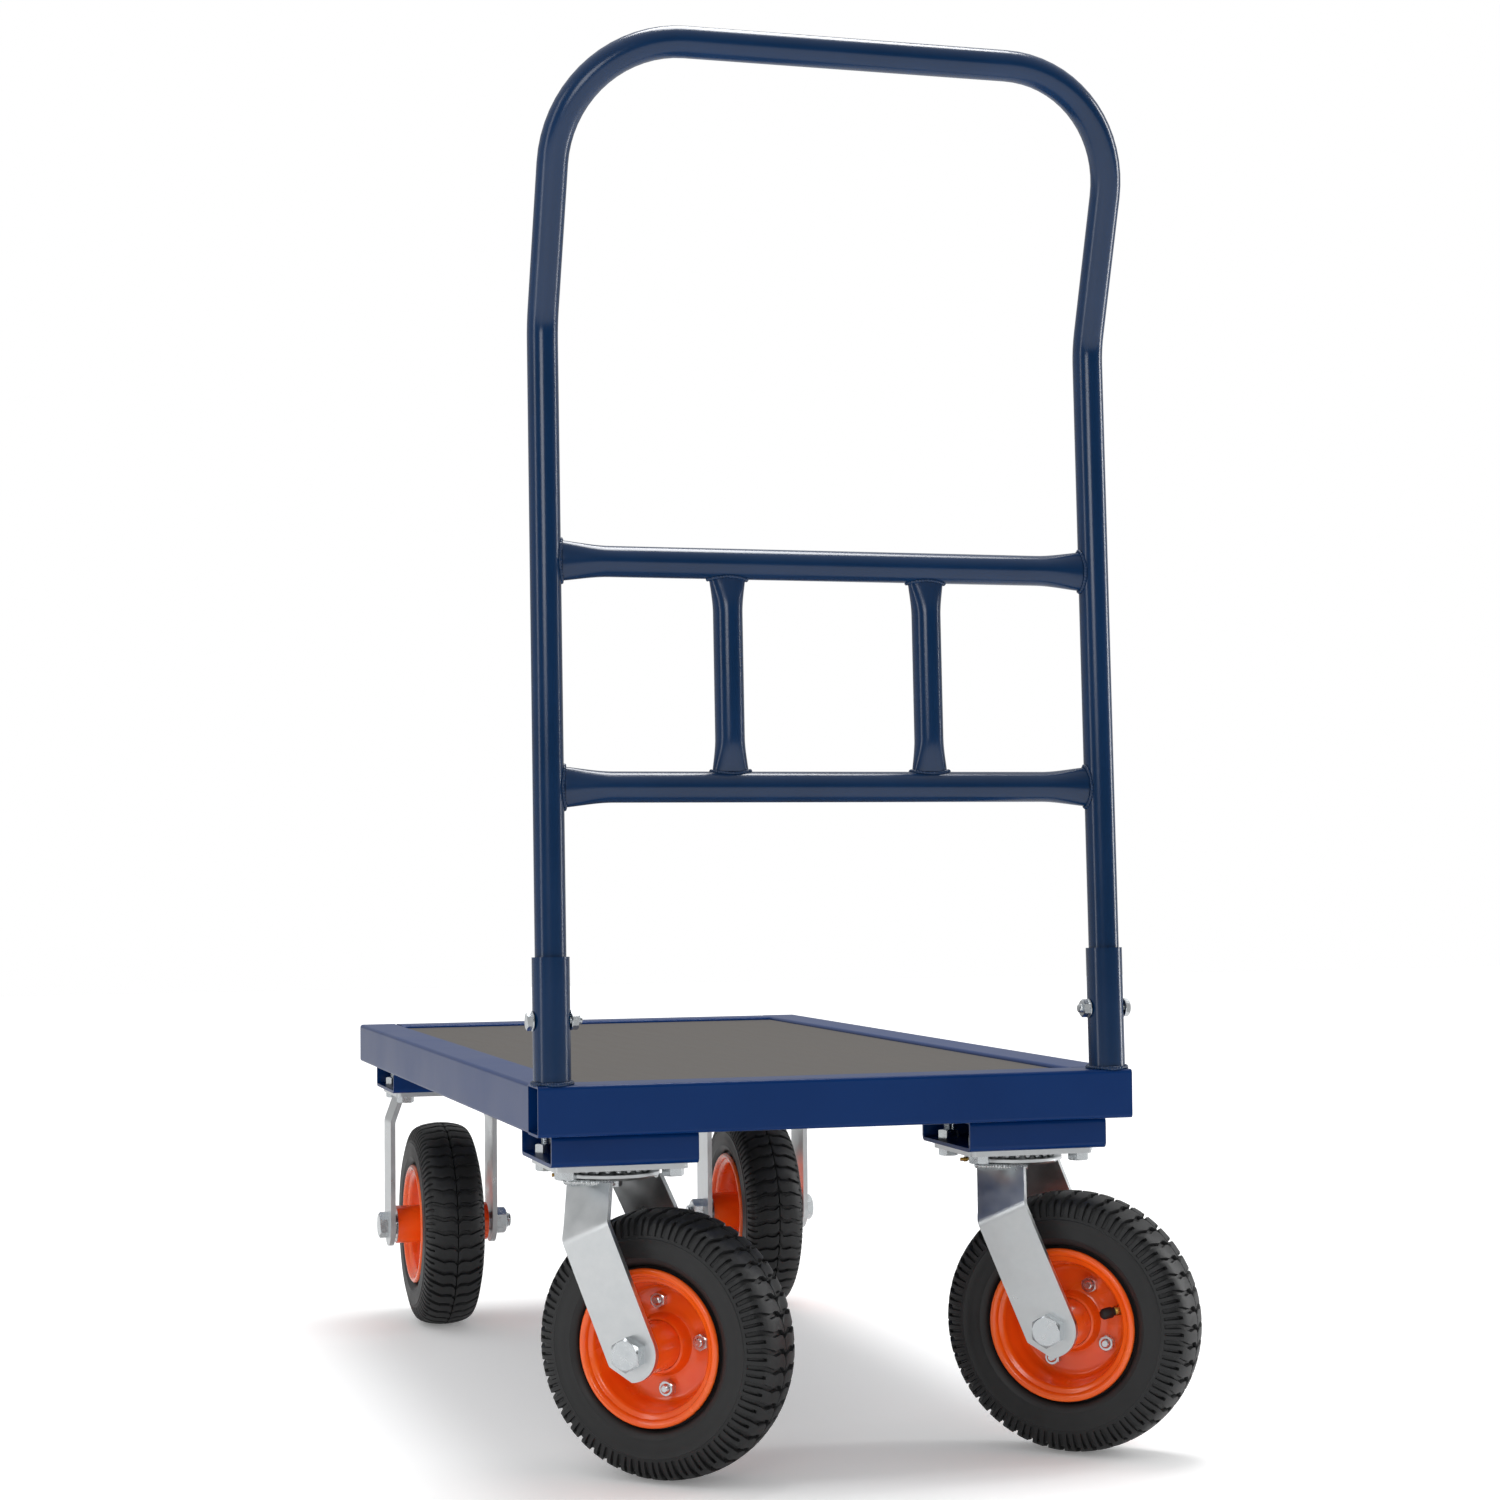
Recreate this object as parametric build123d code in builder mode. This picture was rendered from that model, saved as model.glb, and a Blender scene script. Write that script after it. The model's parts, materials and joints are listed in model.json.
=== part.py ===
from build123d import *
import os
from math import atan2, cos, degrees, hypot, radians, sin, tan

# A flatbed platform truck: a welded square-tube deck frame with an inset board, a bent-tube push
# handle standing in two sockets, two swivel casters under the handle end and two fixed casters
# under the far end, all four on pneumatic wheels. Millimetres. +Z is up, the handle is at -Y, and
# the origin is on the floor under the middle of the deck.

os.makedirs("parts", exist_ok=True)

# ---- Driving dimensions ----

# Deck frame
deck_length = 960.0
deck_width = 500.0
rail_size = 40.0
rail_wall = 2.0
rail_corner = 3.0
board_thickness = 12.0
board_recess = 3.0
board_gap = 1.0
board_edge_break = 0.8
bearer_wall = 1.5
bearer_corner = 2.5
bearer_count = 4

# Caster boxes, the short open tubes between the frame and each caster
box_length = 120.0
box_depth = 118.0
box_height = 26.0
box_wall = 3.0
box_corner = 5.0
box_inset_x = 15.0
box_inset_y = 21.0

# Push handle
handle_tube = 25.0
handle_wall = 2.0
socket_wall = 2.3
socket_height = 100.0
socket_clearance = 0.2
socket_run_below = 5.0
handle_foot_y = 17.0
handle_foot_gap = 1.0
kink_y = 39.0
top_rise = 820.0
grip_rise = 215.0
top_y = -36.0
kink_radius = 70.0
corner_radius = 100.0
crossbar_rises = (234.0, 415.0)
strut_offset = 85.0
strut_tube = 24.0
tube_wall = 1.5
crossbar_spread = 9.0
crossbar_squeeze = 10.0
flare_length = 52.0
strut_spread = 8.0
strut_squeeze = 11.0
strut_flare_length = 40.0
weld_gap = 0.1
nearly_round = 0.02

# Casters
wheel_headroom = 37.0
trail = 52.0
left_heading = -43.5
right_heading = -42.0
plate_margin_x = 5.0
plate_margin_y = 11.5
plate_thickness = 5.0
plate_corner = 6.0
bolt_edge_x = 11.0
bolt_edge_y = 10.5
ball_diameter = 5.0
ball_sink = 0.25
ball_circle = 66.0
ball_count = 24
race_rim = 8.0
turntable_thickness = 5.0
turntable_bevel = 6.0
leg_thickness = 5.0
leg_width = 45.0
leg_top_lead = 19.5
leg_clip_distance = 19.3
leg_clip_angle = 37.7
swivel_crease_angle = 24.0
swivel_crease_drop = 37.5
swivel_leg_inset = 2.6
fixed_crease_drop = 28.0
fixed_leg_inset = 7.7
leg_bend_radius = 14.0
long_run = 2.2
spacer_length = 3.2
spacer_wall = 2.9
kingpin_diameter = 12.0
kingpin_flats = 19.0
kingpin_head = 7.0
kingpin_nut = 8.0
kingpin_window = 32.0
nipple_bearing = 222.0
nipple_collar = (4.0, 3.0)
nipple_tip = (3.0, 6.0)
nipple_standoff = 0.2
nipple_share = 0.62
moving_gap = 0.3
running_clearance = 0.05
ball_clearance = 0.35

# Wheels
wheel_diameter = 215.0
tyre_width = 64.0
tyre_wall = 5.0
tube_inner_wall = 2.0
tube_side_gap = 5.0
tube_tread_gap = 4.0
bead_fit = 1.2
foot_inset = 2.5
hip_inset = 1.0
bulge_drop = 2.0
shoulder_share = 0.86
shoulder_drop = 8.0
tyre_bulge = 7.0
bead_diameter = 103.0
flange_height = 11.5
rim_sheet = 2.0
rim_split = 0.2
well_depth = 4.5
well_slope = 2.0
well_share = 0.5
seat_share = 0.62
flange_lean = 1.2
lip_reach = 5.5
lip_drop = 0.8
rim_bends = (3.5, 3.0, 3.0, 3.0, 3.2)
hub_length = 98.0
hub_wall = 2.5
bearing_diameter = 35.0
bearing_width = 11.0
bearing_shoulder = 1.0
seal_depth = 0.6
seal_land = 2.5
rim_bolt_inset = 1.5
rim_bolt_count = 4
valve_diameter = 8.0
valve_length = 34.0
valve_offset = 2.0
valve_lean = 0.6
valve_hole_depth = 40.0

# Fasteners: thread diameter, width across flats, head height, nut height
m8 = (8.0, 13.0, 5.3, 6.5)
m10 = (10.0, 16.0, 6.4, 8.0)
m16 = (16.0, 24.0, 10.0, 13.0)
hole_clearance = 0.5
thread_stub = 3.0
axle_thread_stub = 5.0

# ---- Worked-out sizes ----

caster_height = wheel_diameter + wheel_headroom
deck_height = caster_height + box_height + rail_size
near_y = -deck_length / 2
far_y = deck_length / 2
side_x = deck_width / 2
inner_x = side_x - rail_size
inner_y = far_y - rail_size
board_top = deck_height - board_recess
board_bottom = board_top - board_thickness
bearer_size = board_bottom - (deck_height - rail_size)
box_x = side_x - box_inset_x - box_length / 2
box_y = far_y - box_inset_y - box_depth / 2
plate_length = box_length - 2 * plate_margin_x
plate_depth = box_depth - 2 * plate_margin_y
bolt_pitch_x = plate_length - 2 * bolt_edge_x
bolt_pitch_y = plate_depth - 2 * bolt_edge_y
plate_bottom = caster_height - plate_thickness
race_gap = ball_diameter - 2 * ball_sink
turntable_top = plate_bottom - race_gap
turntable_bottom = turntable_top - turntable_thickness
turntable_diameter = ball_circle + 2 * race_rim
axle_height = wheel_diameter / 2
axle_diameter = m16[0]
leg_inner = hub_length / 2 + moving_gap + spacer_length
leg_outer = leg_inner + leg_thickness
leg_span = 2 * leg_outer
swivel_leg_top = turntable_diameter / 2 - swivel_leg_inset
fixed_leg_top = plate_length / 2 - fixed_leg_inset
socket_bore = handle_tube + 2 * socket_clearance
socket_tube = socket_bore + 2 * socket_wall
handle_span = deck_width - socket_tube
kink_rise = top_rise - grip_rise
hub_diameter = bearing_diameter + 2 * hub_wall
hub_bore = bearing_diameter - 2 * bearing_shoulder
flange_diameter = bead_diameter + 2 * flange_height
bead_width = tyre_width - 2 * tyre_bulge
rim_bolt_circle = (hub_diameter + bead_diameter) / 2 - rim_bolt_inset

# Each caster: name, swivel axis x and y, direction in which the wheel trails, the wheel's turn, and
# the angle at which its valve stands
swivel_casters = [
    ("front_left", -box_x, -box_y, left_heading, 6.0, 141.0),
    ("front_right", box_x, -box_y, right_heading, -28.0, 16.0),
]
fixed_casters = [
    ("rear_left", -box_x, box_y, -90.0, 20.0, 64.0),
    ("rear_right", box_x, box_y, 90.0, 35.0, 79.0),
]


def save(name, piece):
    """Label one finished piece and write it."""
    piece.part.label = name
    export_step(piece.part, f"parts/{name}.step")


def ahead(heading):
    """Unit vector on the floor at an angle from +X."""
    return Vector(cos(radians(heading)), sin(radians(heading)), 0)


def side_plane(at, heading):
    """Upright plane through a point, with x along the heading and y up."""
    return Plane(origin=at, x_dir=ahead(heading), z_dir=ahead(heading - 90))


def axle_plane(at, heading):
    """Upright plane that holds the axle: x along the axle, y up."""
    return side_plane(at, heading + 90)


def hexagon(flats, thickness, plane, hole=0.0):
    """Add a hexagonal head or nut to the current part, standing on a plane."""
    with BuildSketch(plane) as section:
        RegularPolygon(flats / 2, 6, major_radius=False)
        if hole:
            Circle(hole / 2, mode=Mode.SUBTRACT)
    extrude(section.sketch, amount=thickness)


def rod(diameter, length, plane, mode=Mode.ADD):
    """Add or cut a plain round rod that starts on a plane."""
    with BuildSketch(plane) as section:
        Circle(diameter / 2)
    extrude(section.sketch, amount=length, mode=mode)


# ---- Deck frame ----


def tube_along(start, direction, length, width, height, wall, corner):
    """Rectangular tube with rounded corners; width is level and height is up."""
    level = Vector(0, 0, 1).cross(Vector(*direction))
    with BuildPart() as tube:
        with BuildSketch(Plane(origin=start, x_dir=level, z_dir=direction)):
            RectangleRounded(width, height, corner)
            RectangleRounded(
                width - 2 * wall, height - 2 * wall, corner - wall, mode=Mode.SUBTRACT
            )
        extrude(amount=length)
    return tube


rail_z = deck_height - rail_size / 2
along_x = (1, 0, 0)
along_y = (0, 1, 0)
rail_section = (rail_size, rail_size, rail_wall, rail_corner)

near_cross_rail = tube_along(
    (-side_x, near_y + rail_size / 2, rail_z), along_x, deck_width, *rail_section
)
save("near_cross_rail", near_cross_rail)

far_cross_rail = tube_along(
    (-inner_x, far_y - rail_size / 2, rail_z), along_x, 2 * inner_x, *rail_section
)
save("far_cross_rail", far_cross_rail)

for side, name in ((-1, "left_side_rail"), (1, "right_side_rail")):
    side_rail = tube_along(
        (side * (side_x - rail_size / 2), near_y + rail_size, rail_z),
        along_y,
        deck_length - rail_size,
        *rail_section,
    )
    save(name, side_rail)

with BuildPart() as deck_board:
    with BuildSketch(Plane.XY.offset(board_bottom)):
        Rectangle(2 * (inner_x - board_gap), 2 * (inner_y - board_gap))
    extrude(amount=board_thickness)
    chamfer(deck_board.faces().sort_by(Axis.Z)[-1].edges(), board_edge_break)
save("deck_board", deck_board)

bearer_reach = inner_y - bearer_size / 2
bearer_step = 2 * bearer_reach / (bearer_count - 1)
bearer_z = board_bottom - bearer_size / 2
with BuildPart() as deck_bearers:
    for index in range(bearer_count):
        bearer_y = -bearer_reach + index * bearer_step
        bearer = tube_along(
            (-inner_x, bearer_y, bearer_z),
            along_x,
            2 * inner_x,
            bearer_size,
            bearer_size,
            bearer_wall,
            bearer_corner,
        )
        add(bearer.part)
save("deck_bearers", deck_bearers)

# ---- Caster boxes, with the holes for each caster's four bolts ----

bolt_spots = [
    (x, y)
    for x in (-bolt_pitch_x / 2, bolt_pitch_x / 2)
    for y in (-bolt_pitch_y / 2, bolt_pitch_y / 2)
]


def caster_box(x, y, window):
    """Open-ended box with four bolt holes in its floor, and a window for a king pin's nut."""
    section = (box_depth, box_height, box_wall, box_corner)
    start = (x - box_length / 2, y, caster_height + box_height / 2)
    tube = tube_along(start, along_x, box_length, *section)
    with BuildPart() as box:
        add(tube.part)
        with BuildSketch(Plane((x, y, caster_height))):
            with Locations(*bolt_spots):
                Circle((m10[0] + hole_clearance) / 2)
            if window:
                Circle(window / 2)
        extrude(amount=box_wall, mode=Mode.SUBTRACT)
    return box


for name, x, y, heading, turn, valve in swivel_casters:
    save(f"{name}_caster_box", caster_box(x, y, kingpin_window))
for name, x, y, heading, turn, valve in fixed_casters:
    save(f"{name}_caster_box", caster_box(x, y, 0))

# ---- Push handle: sockets, bent hoop, two crossbars and two struts ----

handle_x = handle_span / 2


def upright_point(x, rise):
    """A point on the centre line of an upright's lower run, at a rise above the deck frame."""
    share = rise / kink_rise
    depth = handle_foot_y + (kink_y - handle_foot_y) * share
    return Vector(x, near_y + depth, deck_height + rise)


lean = (upright_point(0, kink_rise) - upright_point(0, 0)).normalized()
socket_bolt_rise = socket_height / 2
bolt_y = upright_point(0, socket_bolt_rise).Y
bolt_z = deck_height + socket_bolt_rise

with BuildPart() as handle_sockets:
    for side in (-1, 1):
        foot = upright_point(side * handle_x, -socket_run_below)
        with BuildSketch(Plane(origin=foot, x_dir=along_x, z_dir=lean)):
            Circle(socket_tube / 2)
            Circle(socket_bore / 2, mode=Mode.SUBTRACT)
        extrude(amount=socket_height + socket_run_below)
    split(bisect_by=Plane.XY.offset(deck_height), keep=Keep.TOP)
    with BuildSketch(Plane.YZ.offset(-side_x)):
        with Locations((bolt_y, bolt_z)):
            Circle((m8[0] + hole_clearance) / 2)
    extrude(amount=deck_width, mode=Mode.SUBTRACT)
save("handle_sockets", handle_sockets)

hoop_points = [
    upright_point(-handle_x, handle_foot_gap),
    upright_point(-handle_x, kink_rise),
    Vector(-handle_x, near_y + top_y, deck_height + top_rise),
    Vector(handle_x, near_y + top_y, deck_height + top_rise),
    upright_point(handle_x, kink_rise),
    upright_point(handle_x, handle_foot_gap),
]
bends = [kink_radius, corner_radius, corner_radius, kink_radius]
with BuildPart() as handle_hoop:
    with BuildLine():
        FilletPolyline(*hoop_points, radius=bends)
    with BuildSketch(Plane(origin=hoop_points[0], x_dir=along_x, z_dir=lean)):
        Circle(handle_tube / 2)
        Circle(handle_tube / 2 - handle_wall, mode=Mode.SUBTRACT)
    sweep()
    with BuildSketch(Plane.YZ.offset(-side_x)):
        with Locations((bolt_y, bolt_z)):
            Circle((m8[0] + hole_clearance) / 2)
    extrude(amount=deck_width, mode=Mode.SUBTRACT)
save("handle_hoop", handle_hoop)


def flared_tube(middle, direction, tall, half_length, diameter, ends, flare, cutters):
    """Round tube whose ends are pressed flat and tall, and cut to fit round other tubes.

    ends gives the flattened end's height along tall and its depth; cutters is a list of centre
    points and directions of the tubes that its ends meet.
    """
    straight = half_length - flare
    # Nearly round, so that every section is the same kind of curve and the lofts don't twist
    round_end = (diameter, diameter - nearly_round)
    stations = [
        (-half_length, ends),
        (-straight, round_end),
        (straight, round_end),
        (half_length, ends),
    ]
    pieces = []
    for shrink in (0, tube_wall):
        ovals = []
        for distance, size in stations:
            spot = middle + direction * distance
            with BuildSketch(Plane(origin=spot, x_dir=tall, z_dir=direction)) as oval:
                Ellipse(size[0] / 2 - shrink, size[1] / 2 - shrink)
            ovals.append(oval.sketch)
        with BuildPart() as body:
            for near, far in zip(ovals, ovals[1:]):
                loft(sections=[near, far])
        pieces.append(body.part)
    with BuildPart() as tube:
        add(pieces[0])
        add(pieces[1], mode=Mode.SUBTRACT)
        for spot, heading in cutters:
            with BuildSketch(Plane(origin=spot, z_dir=heading)):
                Circle(handle_tube / 2 + weld_gap)
            extrude(amount=2 * ends[0], both=True, mode=Mode.SUBTRACT)
    return tube


x_axis = Vector(*along_x)
crossbar_ends = (handle_tube + crossbar_spread, handle_tube - crossbar_squeeze)
strut_flare = (strut_tube + strut_spread, strut_tube - strut_squeeze)
for name, rise in zip(("lower_crossbar", "upper_crossbar"), crossbar_rises):
    crossbar = flared_tube(
        upright_point(0, rise),
        x_axis,
        lean,
        handle_x,
        handle_tube,
        crossbar_ends,
        flare_length,
        [(upright_point(side * handle_x, rise), lean) for side in (-1, 1)],
    )
    save(name, crossbar)

with BuildPart() as lattice_struts:
    for side in (-1, 1):
        strut_x = side * strut_offset
        strut_ends = [upright_point(strut_x, rise) for rise in crossbar_rises]
        strut = flared_tube(
            (strut_ends[0] + strut_ends[1]) * 0.5,
            lean,
            x_axis,
            (strut_ends[1] - strut_ends[0]).length / 2,
            strut_tube,
            strut_flare,
            strut_flare_length,
            [(spot, x_axis) for spot in strut_ends],
        )
        add(strut.part)
save("lattice_struts", lattice_struts)

# One cross bolt and nut holds each upright in its socket, with the head on the outside
with BuildPart() as socket_bolts:
    for side in (-1, 1):
        outward = Vector(side, 0, 0)
        head_at = Vector(side * (handle_x + socket_tube / 2), bolt_y, bolt_z)
        nut_at = Vector(side * (handle_x - socket_tube / 2), bolt_y, bolt_z)
        stub = socket_tube + m8[3] + thread_stub
        hexagon(m8[1], m8[2], Plane(origin=head_at, z_dir=outward))
        rod(m8[0], stub, Plane(origin=head_at, z_dir=outward * -1))
        nut_plane = Plane(origin=nut_at, z_dir=outward * -1)
        hexagon(m8[1], m8[3], nut_plane, hole=m8[0] + 2 * weld_gap)
save("socket_bolts", socket_bolts)

# ---- Caster plates, their bolts, and the parts of the swivel bearing ----


def ring_cut(x, y, z, radius, section):
    """Cut a round groove of a ball's section out of the current part."""
    with BuildSketch(Plane.XZ.offset(-y)) as groove:
        with Locations((x + radius, z)):
            Circle(section)
    revolve(groove.sketch, axis=Axis((x, y, z), (0, 0, 1)), mode=Mode.SUBTRACT)


ball_z = turntable_top + race_gap / 2


def caster_plate(x, y, swivels):
    """Top plate of one caster, with slots for its bolts and, on a swivel, the upper ball race."""
    with BuildPart() as plate:
        with BuildSketch(Plane((x, y, plate_bottom))):
            RectangleRounded(plate_length, plate_depth, plate_corner)
            with Locations(*bolt_spots):
                Circle((m10[0] + hole_clearance) / 2, mode=Mode.SUBTRACT)
            if swivels:
                Circle(kingpin_diameter / 2, mode=Mode.SUBTRACT)
        extrude(amount=plate_thickness)
        if swivels:
            ring_cut(x, y, ball_z, ball_circle / 2, ball_diameter / 2 + ball_clearance)
    return plate


# Sixteen bolts, heads down, each with its nut inside the caster box
with BuildPart() as plate_bolts:
    for name, x, y, heading, turn, valve in swivel_casters + fixed_casters:
        for dx, dy in bolt_spots:
            under = Vector(x + dx, y + dy, plate_bottom)
            shank = plate_thickness + box_wall + m10[3] + thread_stub
            hexagon(m10[1], m10[2], Plane(origin=under, z_dir=(0, 0, -1)))
            rod(m10[0], shank, Plane(origin=under, z_dir=(0, 0, 1)))
            seat = Plane((x + dx, y + dy, caster_height + box_wall))
            hexagon(m10[1], m10[3], seat, hole=m10[0] + 2 * weld_gap)
save("plate_bolts", plate_bolts)

for name, x, y, heading, turn, valve in swivel_casters:
    save(f"{name}_top_plate", caster_plate(x, y, True))

with BuildPart() as king_pins:
    for name, x, y, heading, turn, valve in swivel_casters:
        head_top = turntable_bottom - moving_gap
        hexagon(kingpin_flats, kingpin_head, Plane((x, y, head_top - kingpin_head)))
        pin_length = caster_height + kingpin_nut + thread_stub - head_top
        rod(kingpin_diameter, pin_length, Plane((x, y, head_top)))
        hexagon(kingpin_flats, kingpin_nut, Plane((x, y, caster_height)))
save("king_pins", king_pins)

with BuildPart() as rear_plates:
    for name, x, y, heading, turn, valve in fixed_casters:
        add(caster_plate(x, y, False).part)
save("rear_caster_plates", rear_plates)


def turntable(x, y):
    """Dished disc that carries the fork legs, with the lower ball race and the pin's bore."""
    with BuildPart() as disc:
        with BuildSketch(Plane((x, y, turntable_bottom))):
            Circle(turntable_diameter / 2)
            Circle(kingpin_diameter / 2 + running_clearance, mode=Mode.SUBTRACT)
        extrude(amount=turntable_thickness)
        outer = disc.edges().filter_by(GeomType.CIRCLE).sort_by(SortBy.RADIUS)[-2:]
        chamfer(outer.sort_by(Axis.Z)[0], turntable_thickness / 2, turntable_bevel)
        ring_cut(x, y, ball_z, ball_circle / 2, ball_diameter / 2 + running_clearance)
    return disc


def swivel_balls(x, y):
    """The ring of balls between the plate and the turntable."""
    with BuildPart() as balls:
        with BuildSketch(Plane.XZ.offset(-y)):
            with Locations((x + ball_circle / 2, ball_z)):
                Circle(ball_diameter / 2)
                Rectangle(
                    ball_diameter,
                    ball_diameter,
                    align=(Align.MAX, Align.CENTER),
                    mode=Mode.SUBTRACT,
                )
        start = Axis((x + ball_circle / 2, y, ball_z), (0, 0, 1))
        revolve(axis=start)
        ball = balls.part
    with BuildPart() as ring:
        for index in range(ball_count):
            add(ball.rotate(Axis((x, y, 0), (0, 0, 1)), index * 360 / ball_count))
    return ring


def grease_nipple(x, y, heading):
    """Grease nipple in the turntable's edge."""
    outward = ahead(heading + nipple_bearing)
    middle_z = turntable_bottom + turntable_thickness * nipple_share
    reach = turntable_diameter / 2 + nipple_standoff - weld_gap
    foot = Plane(origin=Vector(x, y, middle_z) + outward * reach, z_dir=outward)
    with BuildPart() as nipple:
        rod(*nipple_collar, foot)
        rod(*nipple_tip, foot)
    return nipple


# ---- Fork legs ----


def fork_legs(x, y, heading, reach, top, crease_drop, crease_angle, top_offset):
    """Two bent strips, one each side of the wheel, with the axle's holes.

    reach is how far the axle trails behind the middle. Each strip stands upright beside the wheel
    and leans in above a crease, which is square to the leg's own slope, to end with its outer face
    top_offset from the middle.
    """
    crease_height = top - crease_drop
    run_up = long_run * crease_drop
    shift = (leg_outer - top_offset) * long_run
    middle = Vector(x, y, 0)
    forward = ahead(heading)
    axle = middle + forward * reach + Vector(0, 0, axle_height)
    lateral = ahead(heading + 90)
    slope = radians(crease_angle)
    crease = forward * cos(slope) + Vector(0, 0, sin(slope))
    knee_x = reach - (crease_height - axle_height) * tan(slope)
    bend = middle + forward * knee_x + Vector(0, 0, crease_height)
    run_down = 2 * axle_height
    front_down = slope + radians(180 + leg_clip_angle)
    clip_at = (
        reach + leg_clip_distance * cos(front_down),
        axle_height + leg_clip_distance * sin(front_down),
    )
    with BuildPart() as legs:
        with BuildSketch(Plane(origin=bend, x_dir=lateral, z_dir=crease)):
            with BuildLine():
                FilletPolyline(
                    (leg_outer - shift, run_up),
                    (leg_outer, 0),
                    (leg_outer, -run_down),
                    radius=leg_bend_radius,
                )
                offset(amount=leg_thickness, side=Side.RIGHT)
            make_face()
        extrude(amount=3 * leg_width, both=True)
        with BuildSketch(side_plane(middle, heading)):
            top_left = -(leg_top_lead if reach else leg_width / 2)
            with BuildLine():
                Polyline(
                    (top_left, top),
                    (top_left + leg_width, top),
                    (knee_x + leg_width / 2, crease_height),
                    (knee_x - leg_width / 2, crease_height),
                    close=True,
                )
            make_face()
            run = hypot(reach - knee_x, crease_height - axle_height)
            with Locations(((reach + knee_x) / 2, (crease_height + axle_height) / 2)):
                slant = degrees(atan2(crease_height - axle_height, knee_x - reach))
                SlotCenterToCenter(run, leg_width, rotation=slant)
            if reach:
                with Locations(Location(clip_at, degrees(front_down))):
                    Rectangle(
                        leg_width,
                        2 * leg_width,
                        align=(Align.MIN, Align.CENTER),
                        mode=Mode.SUBTRACT,
                    )
        extrude(amount=leg_span, both=True, mode=Mode.INTERSECT)
        with BuildSketch(side_plane(axle, heading)):
            Circle((m16[0] + hole_clearance) / 2)
        extrude(amount=leg_span, both=True, mode=Mode.SUBTRACT)
        mirror(about=side_plane(middle, heading))
    return legs


def axle_bolt(axle, heading):
    """M16 bolt through both legs, its head on the outer side of the caster, and its nut."""
    lateral = ahead(heading + 90)
    outside = axle - lateral * leg_outer
    inside = axle + lateral * leg_outer
    length = leg_span + m16[3] + axle_thread_stub
    upward = (0, 0, 1)
    nut_hole = m16[0] + 2 * weld_gap
    with BuildPart() as bolt:
        hexagon(m16[1], m16[2], Plane(origin=outside, x_dir=upward, z_dir=lateral * -1))
        rod(m16[0], length, Plane(origin=outside, z_dir=lateral))
        nut_plane = Plane(origin=inside, x_dir=upward, z_dir=lateral)
        hexagon(m16[1], m16[3], nut_plane, hole=nut_hole)
    return bolt


def axle_spacers(axle, heading):
    """Two short collars that keep the hub off the legs."""
    lateral = ahead(heading + 90)
    start = hub_length / 2 + moving_gap
    with BuildPart() as spacers:
        for side in (-1, 1):
            face = Plane(origin=axle + lateral * (side * start), z_dir=lateral * side)
            with BuildSketch(face):
                Circle(m16[0] / 2 + weld_gap + spacer_wall)
                Circle(m16[0] / 2 + weld_gap, mode=Mode.SUBTRACT)
            extrude(amount=leg_inner - start)
    return spacers


def axle_point(x, y, heading, reach):
    """Centre of the wheel of one caster."""
    return Vector(x, y, axle_height) + ahead(heading) * reach


for name, x, y, heading, turn, valve in swivel_casters:
    axle = axle_point(x, y, heading, trail)
    save(f"{name}_turntable", turntable(x, y))
    save(f"{name}_swivel_balls", swivel_balls(x, y))
    save(f"{name}_grease_nipple", grease_nipple(x, y, heading))
    legs = fork_legs(
        x,
        y,
        heading,
        trail,
        turntable_bottom,
        swivel_crease_drop,
        swivel_crease_angle,
        swivel_leg_top,
    )
    save(f"{name}_fork_legs", legs)
    save(f"{name}_axle_bolt", axle_bolt(axle, heading))
    save(f"{name}_axle_spacers", axle_spacers(axle, heading))


def rear_pair(make):
    """The same piece made for both fixed casters, as one group."""
    with BuildPart() as pair:
        for name, x, y, heading, turn, valve in fixed_casters:
            add(make(axle_point(x, y, heading, 0), heading).part)
    return pair


with BuildPart() as rear_legs:
    for name, x, y, heading, turn, valve in fixed_casters:
        fixed = fork_legs(x, y, heading, 0, plate_bottom, fixed_crease_drop, 0, fixed_leg_top)
        add(fixed.part)
save("rear_caster_legs", rear_legs)
save("rear_axle_bolts", rear_pair(axle_bolt))
save("rear_axle_spacers", rear_pair(axle_spacers))

# ---- Wheels ----

flange_r = flange_diameter / 2
bead_r = bead_diameter / 2
tread_r = wheel_diameter / 2
half_tyre = tyre_width / 2
half_bead = bead_width / 2
tube_middle_r = (bead_r + tread_r) / 2
tube_half_width = half_tyre - tyre_wall - tube_side_gap
tube_half_height = (tread_r - bead_r) / 2 - tyre_wall - tube_tread_gap


def spun(axle, heading, profile):
    """Revolve a profile about the axle; the profile is drawn as distance along the axle and radius."""
    section = profile(axle_plane(axle, heading))
    with BuildPart() as piece:
        revolve(section, axis=Axis(axle, ahead(heading + 90)))
    return piece


def tyre_profile(plane):
    """Tyre carcass: its outside, less the hollow that opens towards the rim between the beads."""
    foot_x = half_bead - foot_inset
    hip_x = half_bead - hip_inset
    bulge_r = (bead_r + tread_r) / 2 - bulge_drop
    with BuildSketch(plane) as section:
        for inset, mode in ((0, Mode.ADD), (tyre_wall, Mode.SUBTRACT)):
            foot = (foot_x - inset, bead_r + bead_fit)
            hip = (hip_x - inset, flange_r + bead_fit + inset / 3)
            with BuildLine():
                Line(foot, hip)
                Spline(
                    hip,
                    (half_tyre - inset, bulge_r),
                    (half_tyre * shoulder_share - inset, tread_r - shoulder_drop - inset / 3),
                    (0, tread_r - inset * 1.4),
                    tangents=((0.8, 1), (-1, 0)),
                )
                mirror(about=Plane.YZ)
                Line(foot, (-foot[0], foot[1]))
            make_face(mode=mode)
    return section.sketch


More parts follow.
